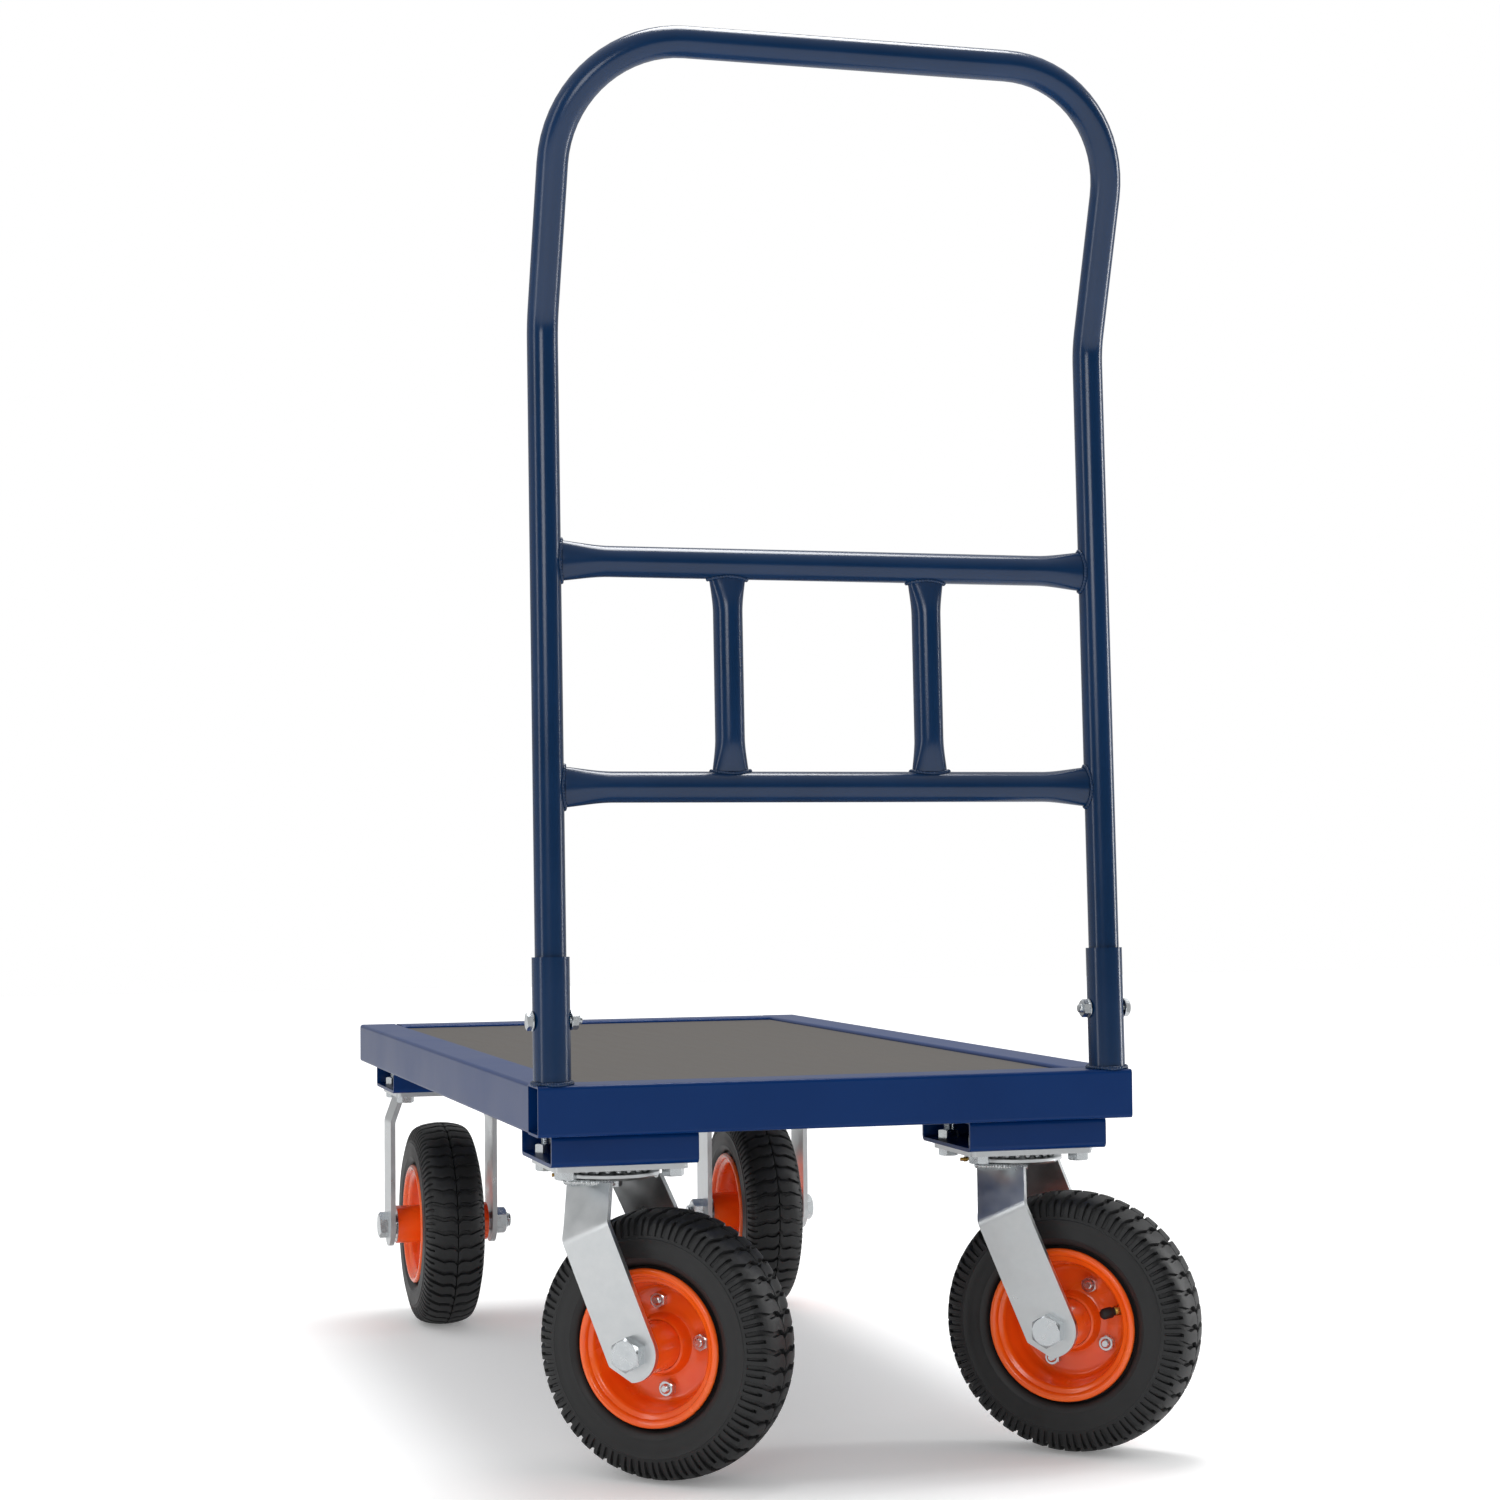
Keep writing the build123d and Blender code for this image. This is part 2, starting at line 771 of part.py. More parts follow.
def inner_tube_profile(plane):
    """Inner tube's wall, blown up inside the tyre."""
    with BuildSketch(plane) as section:
        with Locations((0, tube_middle_r)):
            Ellipse(tube_half_width, tube_half_height)
            Ellipse(
                tube_half_width - tube_inner_wall,
                tube_half_height - tube_inner_wall,
                mode=Mode.SUBTRACT,
            )
    return section.sketch


def wheel_plane(axle, heading, turn):
    """The wheel's middle plane, with x at the wheel's turn."""
    x_dir = ahead(heading) * cos(radians(turn)) + Vector(0, 0, sin(radians(turn)))
    return Plane(origin=axle, x_dir=x_dir, z_dir=ahead(heading - 90))


def valve_plane(axle, heading, valve):
    """Plane at the valve's foot, facing along its stem, in towards the hub and out to the side."""
    lateral = ahead(heading + 90)
    angle = radians(valve)
    outward = ahead(heading) * cos(angle) + Vector(0, 0, sin(angle))
    root_r = tube_middle_r - tube_half_height + tube_inner_wall / 2
    foot = axle + outward * root_r - lateral * valve_offset
    inward = (1 - valve_lean**2) ** 0.5
    return Plane(origin=foot, z_dir=outward * -inward - lateral * valve_lean)


def inner_tube(axle, heading, valve):
    """Inner tube with its valve stem."""
    tube = spun(axle, heading, inner_tube_profile)
    stem = valve_plane(axle, heading, valve)
    with BuildPart() as piece:
        add(tube.part)
        rod(valve_diameter - 2 * hole_clearance, valve_length, stem)
    return piece


def half_rim_profile(plane):
    """One pressed half of the rim: disc, well, bead seat and rolled flange."""
    start = rim_split / 2
    with BuildSketch(plane) as section:
        with BuildLine():
            FilletPolyline(
                (start, hub_diameter / 2 + weld_gap),
                (start, bead_r - well_depth),
                (half_bead * well_share, bead_r - well_depth + well_slope),
                (half_bead * seat_share, bead_r),
                (half_bead, bead_r),
                (half_bead + flange_lean, flange_r),
                (half_bead + lip_reach, flange_r - lip_drop),
                radius=rim_bends,
            )
            offset(amount=rim_sheet, side=Side.RIGHT)
        make_face()
    return section.sketch


def rim(axle, heading, turn, valve):
    """Two pressed rim halves, bolted back to back through four holes."""
    half = spun(axle, heading, half_rim_profile)
    mid_plane = wheel_plane(axle, heading, turn)
    with BuildPart() as halves:
        add(half.part)
        mirror(half.part, about=mid_plane)
        with BuildSketch(mid_plane):
            with PolarLocations(rim_bolt_circle / 2, rim_bolt_count):
                Circle((m8[0] + hole_clearance) / 2)
        extrude(amount=half_bead, both=True, mode=Mode.SUBTRACT)
        valve_hole = valve_plane(axle, heading, valve)
        rod(valve_diameter, valve_hole_depth, valve_hole, mode=Mode.SUBTRACT)
    return halves


def hub_profile(plane):
    """Wall of the hub tube, with a bearing seat bored into each end."""
    half = hub_length / 2
    outer_r = hub_diameter / 2
    with BuildSketch(plane) as section:
        with BuildLine():
            Polyline(
                (-half, outer_r),
                (half, outer_r),
                (half, bearing_diameter / 2),
                (half - bearing_width, bearing_diameter / 2),
                (half - bearing_width, hub_bore / 2),
                (bearing_width - half, hub_bore / 2),
                (bearing_width - half, bearing_diameter / 2),
                (-half, bearing_diameter / 2),
                close=True,
            )
        make_face()
    return section.sketch


def bearing_profile(plane):
    """Two sealed ball bearings, each with its shallow seal recess."""
    inner_r = axle_diameter / 2 + running_clearance
    outer_r = bearing_diameter / 2
    middle_r = (inner_r + outer_r) / 2
    centre = (hub_length - bearing_width) / 2
    with BuildSketch(plane) as section:
        for side in (-1, 1):
            with Locations((side * centre, middle_r)):
                Rectangle(bearing_width, outer_r - inner_r)
            with Locations((side * hub_length / 2, middle_r)):
                Rectangle(2 * seal_depth, outer_r - inner_r - 2 * seal_land, mode=Mode.SUBTRACT)
    return section.sketch


def rim_bolts(axle, heading, turn):
    """Four bolts with nuts that clamp the rim halves together."""
    mid_plane = wheel_plane(axle, heading, turn)
    with BuildPart() as bolts:
        for index in range(rim_bolt_count):
            angle = radians(index * 360 / rim_bolt_count)
            spot = (rim_bolt_circle / 2 * cos(angle), rim_bolt_circle / 2 * sin(angle))
            grip = rim_split / 2 + rim_sheet
            centre = mid_plane.from_local_coords(spot)
            near = centre + mid_plane.z_dir * grip
            far = centre - mid_plane.z_dir * grip
            hexagon(m8[1], m8[2], Plane(origin=far, z_dir=mid_plane.z_dir * -1))
            shank = 2 * grip + m8[3] + thread_stub
            rod(m8[0], shank, Plane(origin=far, z_dir=mid_plane.z_dir))
            nut_hole = m8[0] + 2 * weld_gap
            nut_plane = Plane(origin=near, z_dir=mid_plane.z_dir)
            hexagon(m8[1], m8[3], nut_plane, hole=nut_hole)
    return bolts


def save_wheel(name, axle, heading, turn, valve):
    """All the pieces of one wheel."""
    save(f"{name}_tyre", spun(axle, heading, tyre_profile))
    save(f"{name}_inner_tube", inner_tube(axle, heading, valve))
    save(f"{name}_rim_halves", rim(axle, heading, turn, valve))
    save(f"{name}_hub", spun(axle, heading, hub_profile))
    save(f"{name}_bearings", spun(axle, heading, bearing_profile))
    save(f"{name}_rim_bolts", rim_bolts(axle, heading, turn))


for name, x, y, heading, turn, valve in swivel_casters:
    save_wheel(name, axle_point(x, y, heading, trail), heading, turn, valve)
for name, x, y, heading, turn, valve in fixed_casters:
    save_wheel(name, axle_point(x, y, heading, 0), heading, turn, valve)
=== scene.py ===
# %% [markdown]
# # A flatbed platform truck
# The CAD model is the frame that everything here hangs on: it already has every rail, tube, plate
# and bolt in its place, in metres. This script adds what CAD leaves out, which is the finish of
# each surface and the shapes that are easier to model as meshes: tyre treads, weld beads, bolt
# heads with their chamfers, valves and the rolled lips of the rims.

# %% Load the frame
import json
from math import atan2, cos, hypot, pi, radians, sin, sqrt, tan

import bmesh
import bpy
from mathutils import Matrix, Vector, noise


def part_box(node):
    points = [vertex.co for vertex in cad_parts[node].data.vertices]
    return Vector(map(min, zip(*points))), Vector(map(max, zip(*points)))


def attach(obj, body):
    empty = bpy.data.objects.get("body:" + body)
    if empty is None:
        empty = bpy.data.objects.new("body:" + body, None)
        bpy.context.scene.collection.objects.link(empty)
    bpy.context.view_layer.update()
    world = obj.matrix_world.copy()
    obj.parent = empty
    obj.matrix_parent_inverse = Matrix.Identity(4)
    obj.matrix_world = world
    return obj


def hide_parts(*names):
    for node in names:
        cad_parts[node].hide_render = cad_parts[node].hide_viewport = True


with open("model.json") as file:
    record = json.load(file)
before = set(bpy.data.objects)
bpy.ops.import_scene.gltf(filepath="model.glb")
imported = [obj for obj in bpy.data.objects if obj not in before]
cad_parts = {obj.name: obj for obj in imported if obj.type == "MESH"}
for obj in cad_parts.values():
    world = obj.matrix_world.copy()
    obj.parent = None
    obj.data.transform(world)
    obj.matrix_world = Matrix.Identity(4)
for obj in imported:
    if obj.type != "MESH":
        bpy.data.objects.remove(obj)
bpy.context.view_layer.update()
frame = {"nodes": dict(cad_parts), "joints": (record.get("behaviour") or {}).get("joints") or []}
nodes = frame["nodes"]
MM = 0.001

# %% [markdown]
# ## The camera
# The truck is seen from a little above its deck, from the handle end and to the left of it, with a
# long lens. The camera is built from three directions: where it looks, and its own right and up.

# %% Place the camera
eye = Vector((-0.7017, -2.6594, 0.4865))
yaw, pitch, roll = radians(16.018), radians(2.382), radians(-0.496)
ahead = Vector((sin(yaw) * cos(pitch), cos(yaw) * cos(pitch), sin(pitch)))
level = Vector((cos(yaw), -sin(yaw), 0))
overhead = level.cross(ahead)
right = level * cos(roll) + overhead * sin(roll)
up = overhead * cos(roll) - level * sin(roll)

camera_data = bpy.data.cameras.new("camera")
camera_data.lens = 68.21
camera_data.sensor_width = 36
camera = bpy.data.objects.new("camera", camera_data)
bpy.context.scene.collection.objects.link(camera)
turn_to_view = Matrix((right, up, -ahead)).transposed().to_4x4()
camera.matrix_world = Matrix.Translation(eye) @ turn_to_view
bpy.context.scene.camera = camera
print("camera", tuple(round(c, 3) for c in eye), "lens", camera_data.lens)

# %% [markdown]
# ## Two helpers for materials
# Colours are easiest to name as the hex values of a paint chart, which are sRGB. A shader works in
# linear light, so one function converts them. The other helper adds a node, sets it up and joins
# its inputs, so that each material below reads as a short list of nodes.

# %% Colour and node helpers


def srgb(code, alpha=1.0):
    """Linear colour of a hex value."""
    parts = [int(code[i : i + 2], 16) / 255 for i in (1, 3, 5)]
    linear = [p / 12.92 if p <= 0.04045 else ((p + 0.055) / 1.055) ** 2.4 for p in parts]
    return (*linear, alpha)


def add_node(tree, kind, sockets=None, **settings):
    """Add a node; each socket gets a value, or the output of another node."""
    node = tree.nodes.new(kind)
    for name, value in settings.items():
        setattr(node, name, value)
    for name, value in (sockets or {}).items():
        if isinstance(value, bpy.types.NodeSocket):
            tree.links.new(value, node.inputs[name])
        else:
            node.inputs[name].default_value = value
    return node


def new_material(name):
    """An empty material, with the coordinates of the object that wears it."""
    material = bpy.data.materials.new(name)
    material.use_nodes = True
    tree = material.node_tree
    tree.nodes.clear()
    place = add_node(tree, "ShaderNodeTexCoord").outputs["Object"]
    return material, tree, place


def blend_two(tree, factor, low, high):
    """Colour between two hex values, by a factor."""
    mix = add_node(tree, "ShaderNodeMix", data_type="RGBA")
    tree.links.new(factor, mix.inputs["Factor"])
    mix.inputs["A"].default_value = srgb(low)
    mix.inputs["B"].default_value = srgb(high)
    return mix.outputs["Result"]


def show(tree, shader):
    """Send a shader to the material's surface."""
    add_node(tree, "ShaderNodeOutputMaterial", {"Surface": shader.outputs["BSDF"]})


# %% [markdown]
# ## Powder coat
# The steel frame is powder coated: dry polyester powder is sprayed on and melted in an oven. The
# film is smooth, with a faint ripple about a millimetre and a half apart, called orange peel, and
# slow changes of depth as wide as a hand. Its IOR is that of polyester, 1.5, and a satin film has
# a roughness near 0.3. The handle's tubes get a copy of the coat that is a shade darker and glossier.

# %% Powder coat materials
PEEL_SPACING = 1.6 * MM
CLOUD_SIZE = 90 * MM


def powder_coat(name, deep, light, roughness, shine):
    """Satin powder coat with orange peel and slow changes of depth."""
    material, tree, place = new_material(name)
    clouds = add_node(tree, "ShaderNodeTexNoise", {"Vector": place, "Scale": 1 / CLOUD_SIZE, "Detail": 3.0})
    colour = blend_two(tree, clouds.outputs["Fac"], deep, light)
    sheen = add_node(
        tree,
        "ShaderNodeMapRange",
        {"Value": clouds.outputs["Fac"], "To Min": roughness - 0.05, "To Max": roughness + 0.06},
    )
    peel = add_node(tree, "ShaderNodeTexNoise", {"Vector": place, "Scale": 1 / PEEL_SPACING, "Detail": 1.5})
    ripple = add_node(
        tree,
        "ShaderNodeBump",
        {"Height": peel.outputs["Fac"], "Strength": 0.06, "Distance": 0.4 * MM},
    )
    shader = add_node(
        tree,
        "ShaderNodeBsdfPrincipled",
        {
            "Base Color": colour,
            "Roughness": sheen.outputs["Result"],
            "IOR": 1.5,
            "Specular IOR Level": shine,
            "Normal": ripple.outputs["Normal"],
        },
    )
    show(tree, shader)
    return material


deck_paint = powder_coat("powder_coat_blue", "#00295E", "#03316A", 0.3, 0.2)
handle_paint = powder_coat("powder_coat_handle", "#042443", "#093058", 0.2, 0.6)
print("powder coats:", deck_paint.name, handle_paint.name)

# %% [markdown]
# ## Film-faced board
# The deck board is plywood faced with brown phenolic film, hot pressed, so it has a satin skin
# with a fine grain of the paper beneath, just under a millimetre, and the long, faint waves of the
# veneer. Phenolic resin has an IOR near 1.55.

# %% Board material
VENEER_WAVE = 14 * MM
VENEER_STRETCH = (1.0, 0.12, 1.0)
PAPER_GRAIN = 0.9 * MM
board_film, tree, place = new_material("phenolic_film")
stretch = add_node(tree, "ShaderNodeMapping", {"Vector": place, "Scale": VENEER_STRETCH})
veneer = add_node(
    tree,
    "ShaderNodeTexNoise",
    {"Vector": stretch.outputs["Vector"], "Scale": 1 / VENEER_WAVE, "Detail": 5.0},
)
paper = add_node(tree, "ShaderNodeTexNoise", {"Vector": place, "Scale": 1 / PAPER_GRAIN, "Detail": 2.0})
film_colour = blend_two(tree, veneer.outputs["Fac"], "#3A3530", "#4C4640")
grain = add_node(
    tree, "ShaderNodeBump", {"Height": paper.outputs["Fac"], "Strength": 0.25, "Distance": 0.15 * MM}
)
film_sheen = add_node(
    tree, "ShaderNodeMapRange", {"Value": veneer.outputs["Fac"], "To Min": 0.38, "To Max": 0.5}
)
shader = add_node(
    tree,
    "ShaderNodeBsdfPrincipled",
    {
        "Base Color": film_colour,
        "Roughness": film_sheen.outputs["Result"],
        "IOR": 1.55,
        "Specular IOR Level": 0.36,
        "Normal": grain.outputs["Normal"],
    },
)
show(tree, shader)
print("board:", board_film.name)

# %% [markdown]
# ## Zinc
# The casters are pressed from steel strip and plated with bright zinc, which is bluish and a
# little cloudy. Turned fasteners are shinier and their clouds are smaller. A metal keeps the
# default IOR; its look is all in its colour, its roughness and how both wander.

# %% Zinc materials
ZINC_GRAIN = 1.4 * MM


def bright_zinc(name, dull, bright, smooth, rough, cloud):
    """Zinc plating over pressed steel, with clouds of a given size."""
    material, tree, place = new_material(name)
    clouds = add_node(tree, "ShaderNodeTexNoise", {"Vector": place, "Scale": 1 / cloud, "Detail": 5.0})
    fine = add_node(tree, "ShaderNodeTexNoise", {"Vector": place, "Scale": 1 / ZINC_GRAIN, "Detail": 3.0})
    colour = blend_two(tree, clouds.outputs["Fac"], dull, bright)
    polish = add_node(
        tree,
        "ShaderNodeMapRange",
        {"Value": clouds.outputs["Fac"], "From Min": 0.3, "From Max": 0.7, "To Min": smooth, "To Max": rough},
    )
    skin = add_node(
        tree, "ShaderNodeBump", {"Height": fine.outputs["Fac"], "Strength": 0.12, "Distance": 0.12 * MM}
    )
    shader = add_node(
        tree,
        "ShaderNodeBsdfPrincipled",
        {
            "Base Color": colour,
            "Metallic": 1.0,
            "Roughness": polish.outputs["Result"],
            "Normal": skin.outputs["Normal"],
        },
    )
    show(tree, shader)
    return material


plate_zinc = bright_zinc("bright_zinc_plate", "#CFD4D6", "#F2F4F5", 0.27, 0.42, 18 * MM)
bolt_zinc = bright_zinc("bright_zinc_fastener", "#C6CDD1", "#F0F3F5", 0.16, 0.3, 5 * MM)
ball_steel = bright_zinc("ground_bearing_steel", "#A9ABAD", "#D9DBDC", 0.08, 0.16, 6 * MM)
nipple_brass = bright_zinc("turned_brass", "#A37A2E", "#D1A95A", 0.2, 0.34, 4 * MM)
weld_zinc = bright_zinc("plated_weld", "#B7BBBD", "#ECEFF0", 0.16, 0.3, 3 * MM)
print("metals:", plate_zinc.name, bolt_zinc.name, ball_steel.name, nipple_brass.name)

# %% [markdown]
# ## Enamel
# The rims and hubs are dipped in a gloss stoving enamel. It pools a little as it drains, so its
# colour deepens in soft patches. Enamel is a coloured layer under a clear, smooth surface, so the
# shader gets a coat.

# %% Enamel material
ENAMEL_POOL = 30 * MM
ENAMEL_SAG = 4 * MM
rim_enamel, tree, place = new_material("orange_stoving_enamel")
pools = add_node(tree, "ShaderNodeTexNoise", {"Vector": place, "Scale": 1 / ENAMEL_POOL, "Detail": 2.0})
flow = add_node(tree, "ShaderNodeTexNoise", {"Vector": place, "Scale": 1 / ENAMEL_SAG, "Detail": 1.0})
enamel_colour = blend_two(tree, pools.outputs["Fac"], "#FA500A", "#FF7018")
sag = add_node(
    tree, "ShaderNodeBump", {"Height": flow.outputs["Fac"], "Strength": 0.08, "Distance": 0.5 * MM}
)
gloss = add_node(
    tree, "ShaderNodeMapRange", {"Value": pools.outputs["Fac"], "To Min": 0.2, "To Max": 0.32}
)
shader = add_node(
    tree,
    "ShaderNodeBsdfPrincipled",
    {
        "Base Color": enamel_colour,
        "Roughness": gloss.outputs["Result"],
        "IOR": 1.52,
        "Coat Weight": 0.5,
        "Coat Roughness": 0.08,
        "Normal": sag.outputs["Normal"],
    },
)
show(tree, shader)
print("enamel:", rim_enamel.name)

# %% [markdown]
# ## Rubber
# Tyres are carbon-black rubber cured in a steel mould. The mould gives a dull skin with a fine
# tooth, and handling leaves paler, dusty patches. Rubber's IOR is near 1.52 and it is rough. The
# tooth is really about 0.3 mm, and is drawn at 0.8 mm here so that it shows.

# %% Rubber materials
DUST_PATCH = 25 * MM


def cured_rubber(name, dark, dusty, roughness, tooth):
    """Moulded rubber with a fine tooth and dusty patches."""
    material, tree, place = new_material(name)
    dust = add_node(tree, "ShaderNodeTexNoise", {"Vector": place, "Scale": 1 / DUST_PATCH, "Detail": 6.0})
    skin = add_node(tree, "ShaderNodeTexNoise", {"Vector": place, "Scale": 1 / tooth, "Detail": 3.0})
    colour = blend_two(tree, dust.outputs["Fac"], dark, dusty)
    dulled = add_node(
        tree,
        "ShaderNodeMapRange",
        {"Value": dust.outputs["Fac"], "To Min": roughness - 0.08, "To Max": roughness + 0.1},
    )
    grit = add_node(
        tree, "ShaderNodeBump", {"Height": skin.outputs["Fac"], "Strength": 0.35, "Distance": 0.2 * MM}
    )
    shader = add_node(
        tree,
        "ShaderNodeBsdfPrincipled",
        {
            "Base Color": colour,
            "Roughness": dulled.outputs["Result"],
            "IOR": 1.52,
            "Specular IOR Level": 0.45,
            "Normal": grit.outputs["Normal"],
        },
    )
    show(tree, shader)
    return material


tyre_rubber = cured_rubber("cured_tyre_rubber", "#1B1C1D", "#2A2B2C", 0.46, 0.8 * MM)
tube_rubber = cured_rubber("butyl_rubber", "#151515", "#222222", 0.45, 0.6 * MM)
print("rubbers:", tyre_rubber.name, tube_rubber.name)

# %% [markdown]
# ## Dress the CAD pieces
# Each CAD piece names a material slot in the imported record's own terms. The finish is chosen here
# from the kind of piece, by the last words of its name.

# %% Give each CAD piece its finish
finish_by_ending = {
    "rail": deck_paint,
    "bearers": deck_paint,
    "caster_box": deck_paint,
    "deck_board": board_film,
    "sockets": handle_paint,
    "hoop": handle_paint,
    "crossbar": handle_paint,
    "struts": handle_paint,
    "top_plate": plate_zinc,
    "caster_plates": plate_zinc,
    "legs": plate_zinc,
    "turntable": plate_zinc,
    "bolt": bolt_zinc,
    "bolts": bolt_zinc,
    "pins": bolt_zinc,
    "spacers": bolt_zinc,
    "balls": ball_steel,
    "bearings": ball_steel,
    "nipple": nipple_brass,
    "rim_halves": rim_enamel,
    "hub": rim_enamel,
    "tyre": tyre_rubber,
    "inner_tube": tube_rubber,
}
for name, piece in nodes.items():
    ending = next(e for e in sorted(finish_by_ending, key=len, reverse=True) if name.endswith(e))
    piece.data.materials.clear()
    piece.data.materials.append(finish_by_ending[ending])
print("finished CAD pieces:", len(nodes))

# %% [markdown]
# ## Where each wheel stands
# Every wheel is modelled once, about the X axis with its centre at the origin, and then carried to
# its place. The centre is the middle of the CAD tyre's box, and the axle's direction comes from
# the joint that the wheel rolls on. The axle bolt's head is on the -X side, and the right rear
# caster is turned round, so that its bolt head faces outwards too.

# %% Wheel places
wheel_names = ("front_left", "front_right", "rear_left", "rear_right")
roll_axis = {j["child"]: Vector(j["axis"]) for j in frame["joints"] if j["name"].endswith("_roll")}
wheel_place = {}
for name in wheel_names:
    low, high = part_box(f"{name}_tyre")
    axle = roll_axis[f"{name}_wheel"].normalized() * (-1 if name == "rear_right" else 1)
    facing = Matrix((axle, Vector((0, 0, 1)).cross(axle), Vector((0, 0, 1)))).transposed()
    wheel_place[name] = Matrix.Translation((low + high) / 2) @ facing.to_4x4()
    print(name, "centre", tuple(round(c, 4) for c in (low + high) / 2), "axle", tuple(axle))

# %% [markdown]
# ## A helper that finishes a mesh
# New pieces are made in a bmesh, which becomes an object at the origin with its place in its mesh.
# Edges sharper than a given angle stay crisp, and the rest are shaded smooth.

# %% Finish a mesh


def finish_piece(name, mesh_data, material, body, stands_for=(), crisp=35.0):
    """Turn a bmesh into a piece that rides on a body."""
    mesh = bpy.data.meshes.new(name)
    mesh_data.to_mesh(mesh)
    mesh_data.free()
    mesh.materials.append(material)
    mesh.shade_smooth()
    mesh.set_sharp_from_angle(angle=radians(crisp))
    piece = bpy.data.objects.new(name, mesh)
    bpy.context.scene.collection.objects.link(piece)
    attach(piece, body)
    if stands_for:
        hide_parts(*stands_for)
    return piece


# %% [markdown]
# ## The tyre's section
# A tyre is a solid of revolution with a pattern cut in it. Half of the section is drawn as a
# closed chain of points, distance along the axle and radius in millimetres: the crown, the
# shoulder, the foot of the tread, the sidewall with its thin mould rings, the bead, and back
# inside. Spinning it makes half a tyre. Its steps are chosen so that four of them make one lug.

# %% Tyre section
LUGS = 46
STEPS_PER_LUG = 4
TREAD_RADIUS = 107.5
outside = [
    (0.0, 107.5),
    (0.9, 107.5),
    (4.0, 107.4),
    (8.5, 107.0),
    (14.0, 106.2),
    (19.0, 105.0),
    (23.5, 103.2),
    (26.6, 101.0),
    (28.3, 98.4),
    (29.5, 95.0),
    (30.4, 91.6),
    (31.0, 88.6),
    (31.3, 86.9),
    (31.9, 86.3),
    (31.8, 85.4),
    (31.6, 84.9),
    (31.9, 80.5),
    (32.0, 76.0),
    (31.5, 72.3),
    (31.7, 71.6),
    (31.4, 70.9),
    (30.4, 68.6),
    (28.6, 66.3),
    (25.4, 64.6),
    (23.9, 64.2),
    (22.9, 58.0),
    (22.4, 54.0),
]
inside = [
    (17.5, 53.9),
    (18.6, 63.0),
    (22.5, 69.0),
    (26.2, 78.0),
    (25.0, 88.0),
    (19.5, 95.5),
    (10.0, 99.2),
    (0.0, 100.2),
]
print("section points:", len(outside) + len(inside))

# %% [markdown]
# ## The tread
# The grooves between the lugs run straight down the shoulder, and wave once across the crown
# before they hook into the narrow centre groove. Instead of drawing that path, the lines of the
# spun mesh are turned about the axle, row by row, until they follow it. The groove's faces are
# then inset, which makes its sloping walls, and sunk to their depth.

# %% Groove path and depth
groove_share = (0.0, 0.33, 0.55, 0.78)
wave_rows = (7.2, 6.8, 3.6, 3.0, 4.2, 2.4, 0.7)
LAST_TREAD_ROW = 11
FIRST_SLOT_ROW = 6
WALL_SLOPE = 0.8
DEEP, SHALLOW = 3.2, 1.1
DEEP_RADIUS, SHALLOW_RADIUS = 103.0, 88.6


def groove_depth(radius):
    """Depth of a groove's floor, which is shallower down the shoulder."""
    share = (radius - SHALLOW_RADIUS) / (DEEP_RADIUS - SHALLOW_RADIUS)
    return SHALLOW + (DEEP - SHALLOW) * min(1.0, max(0.0, share))


# %% Build one tyre
def spin_section(bm, points, steps):
    """Spin a chain of points about the X axis and close the seam."""
    chain = [bm.verts.new((x * MM, 0, r * MM)) for x, r in points]
    edges = [bm.edges.new(pair) for pair in zip(chain, chain[1:])]
    bmesh.ops.spin(
        bm,
        geom=chain + edges,
        axis=(1, 0, 0),
        cent=(0, 0, 0),
        angle=2 * pi,
        steps=steps,
        use_merge=True,
    )


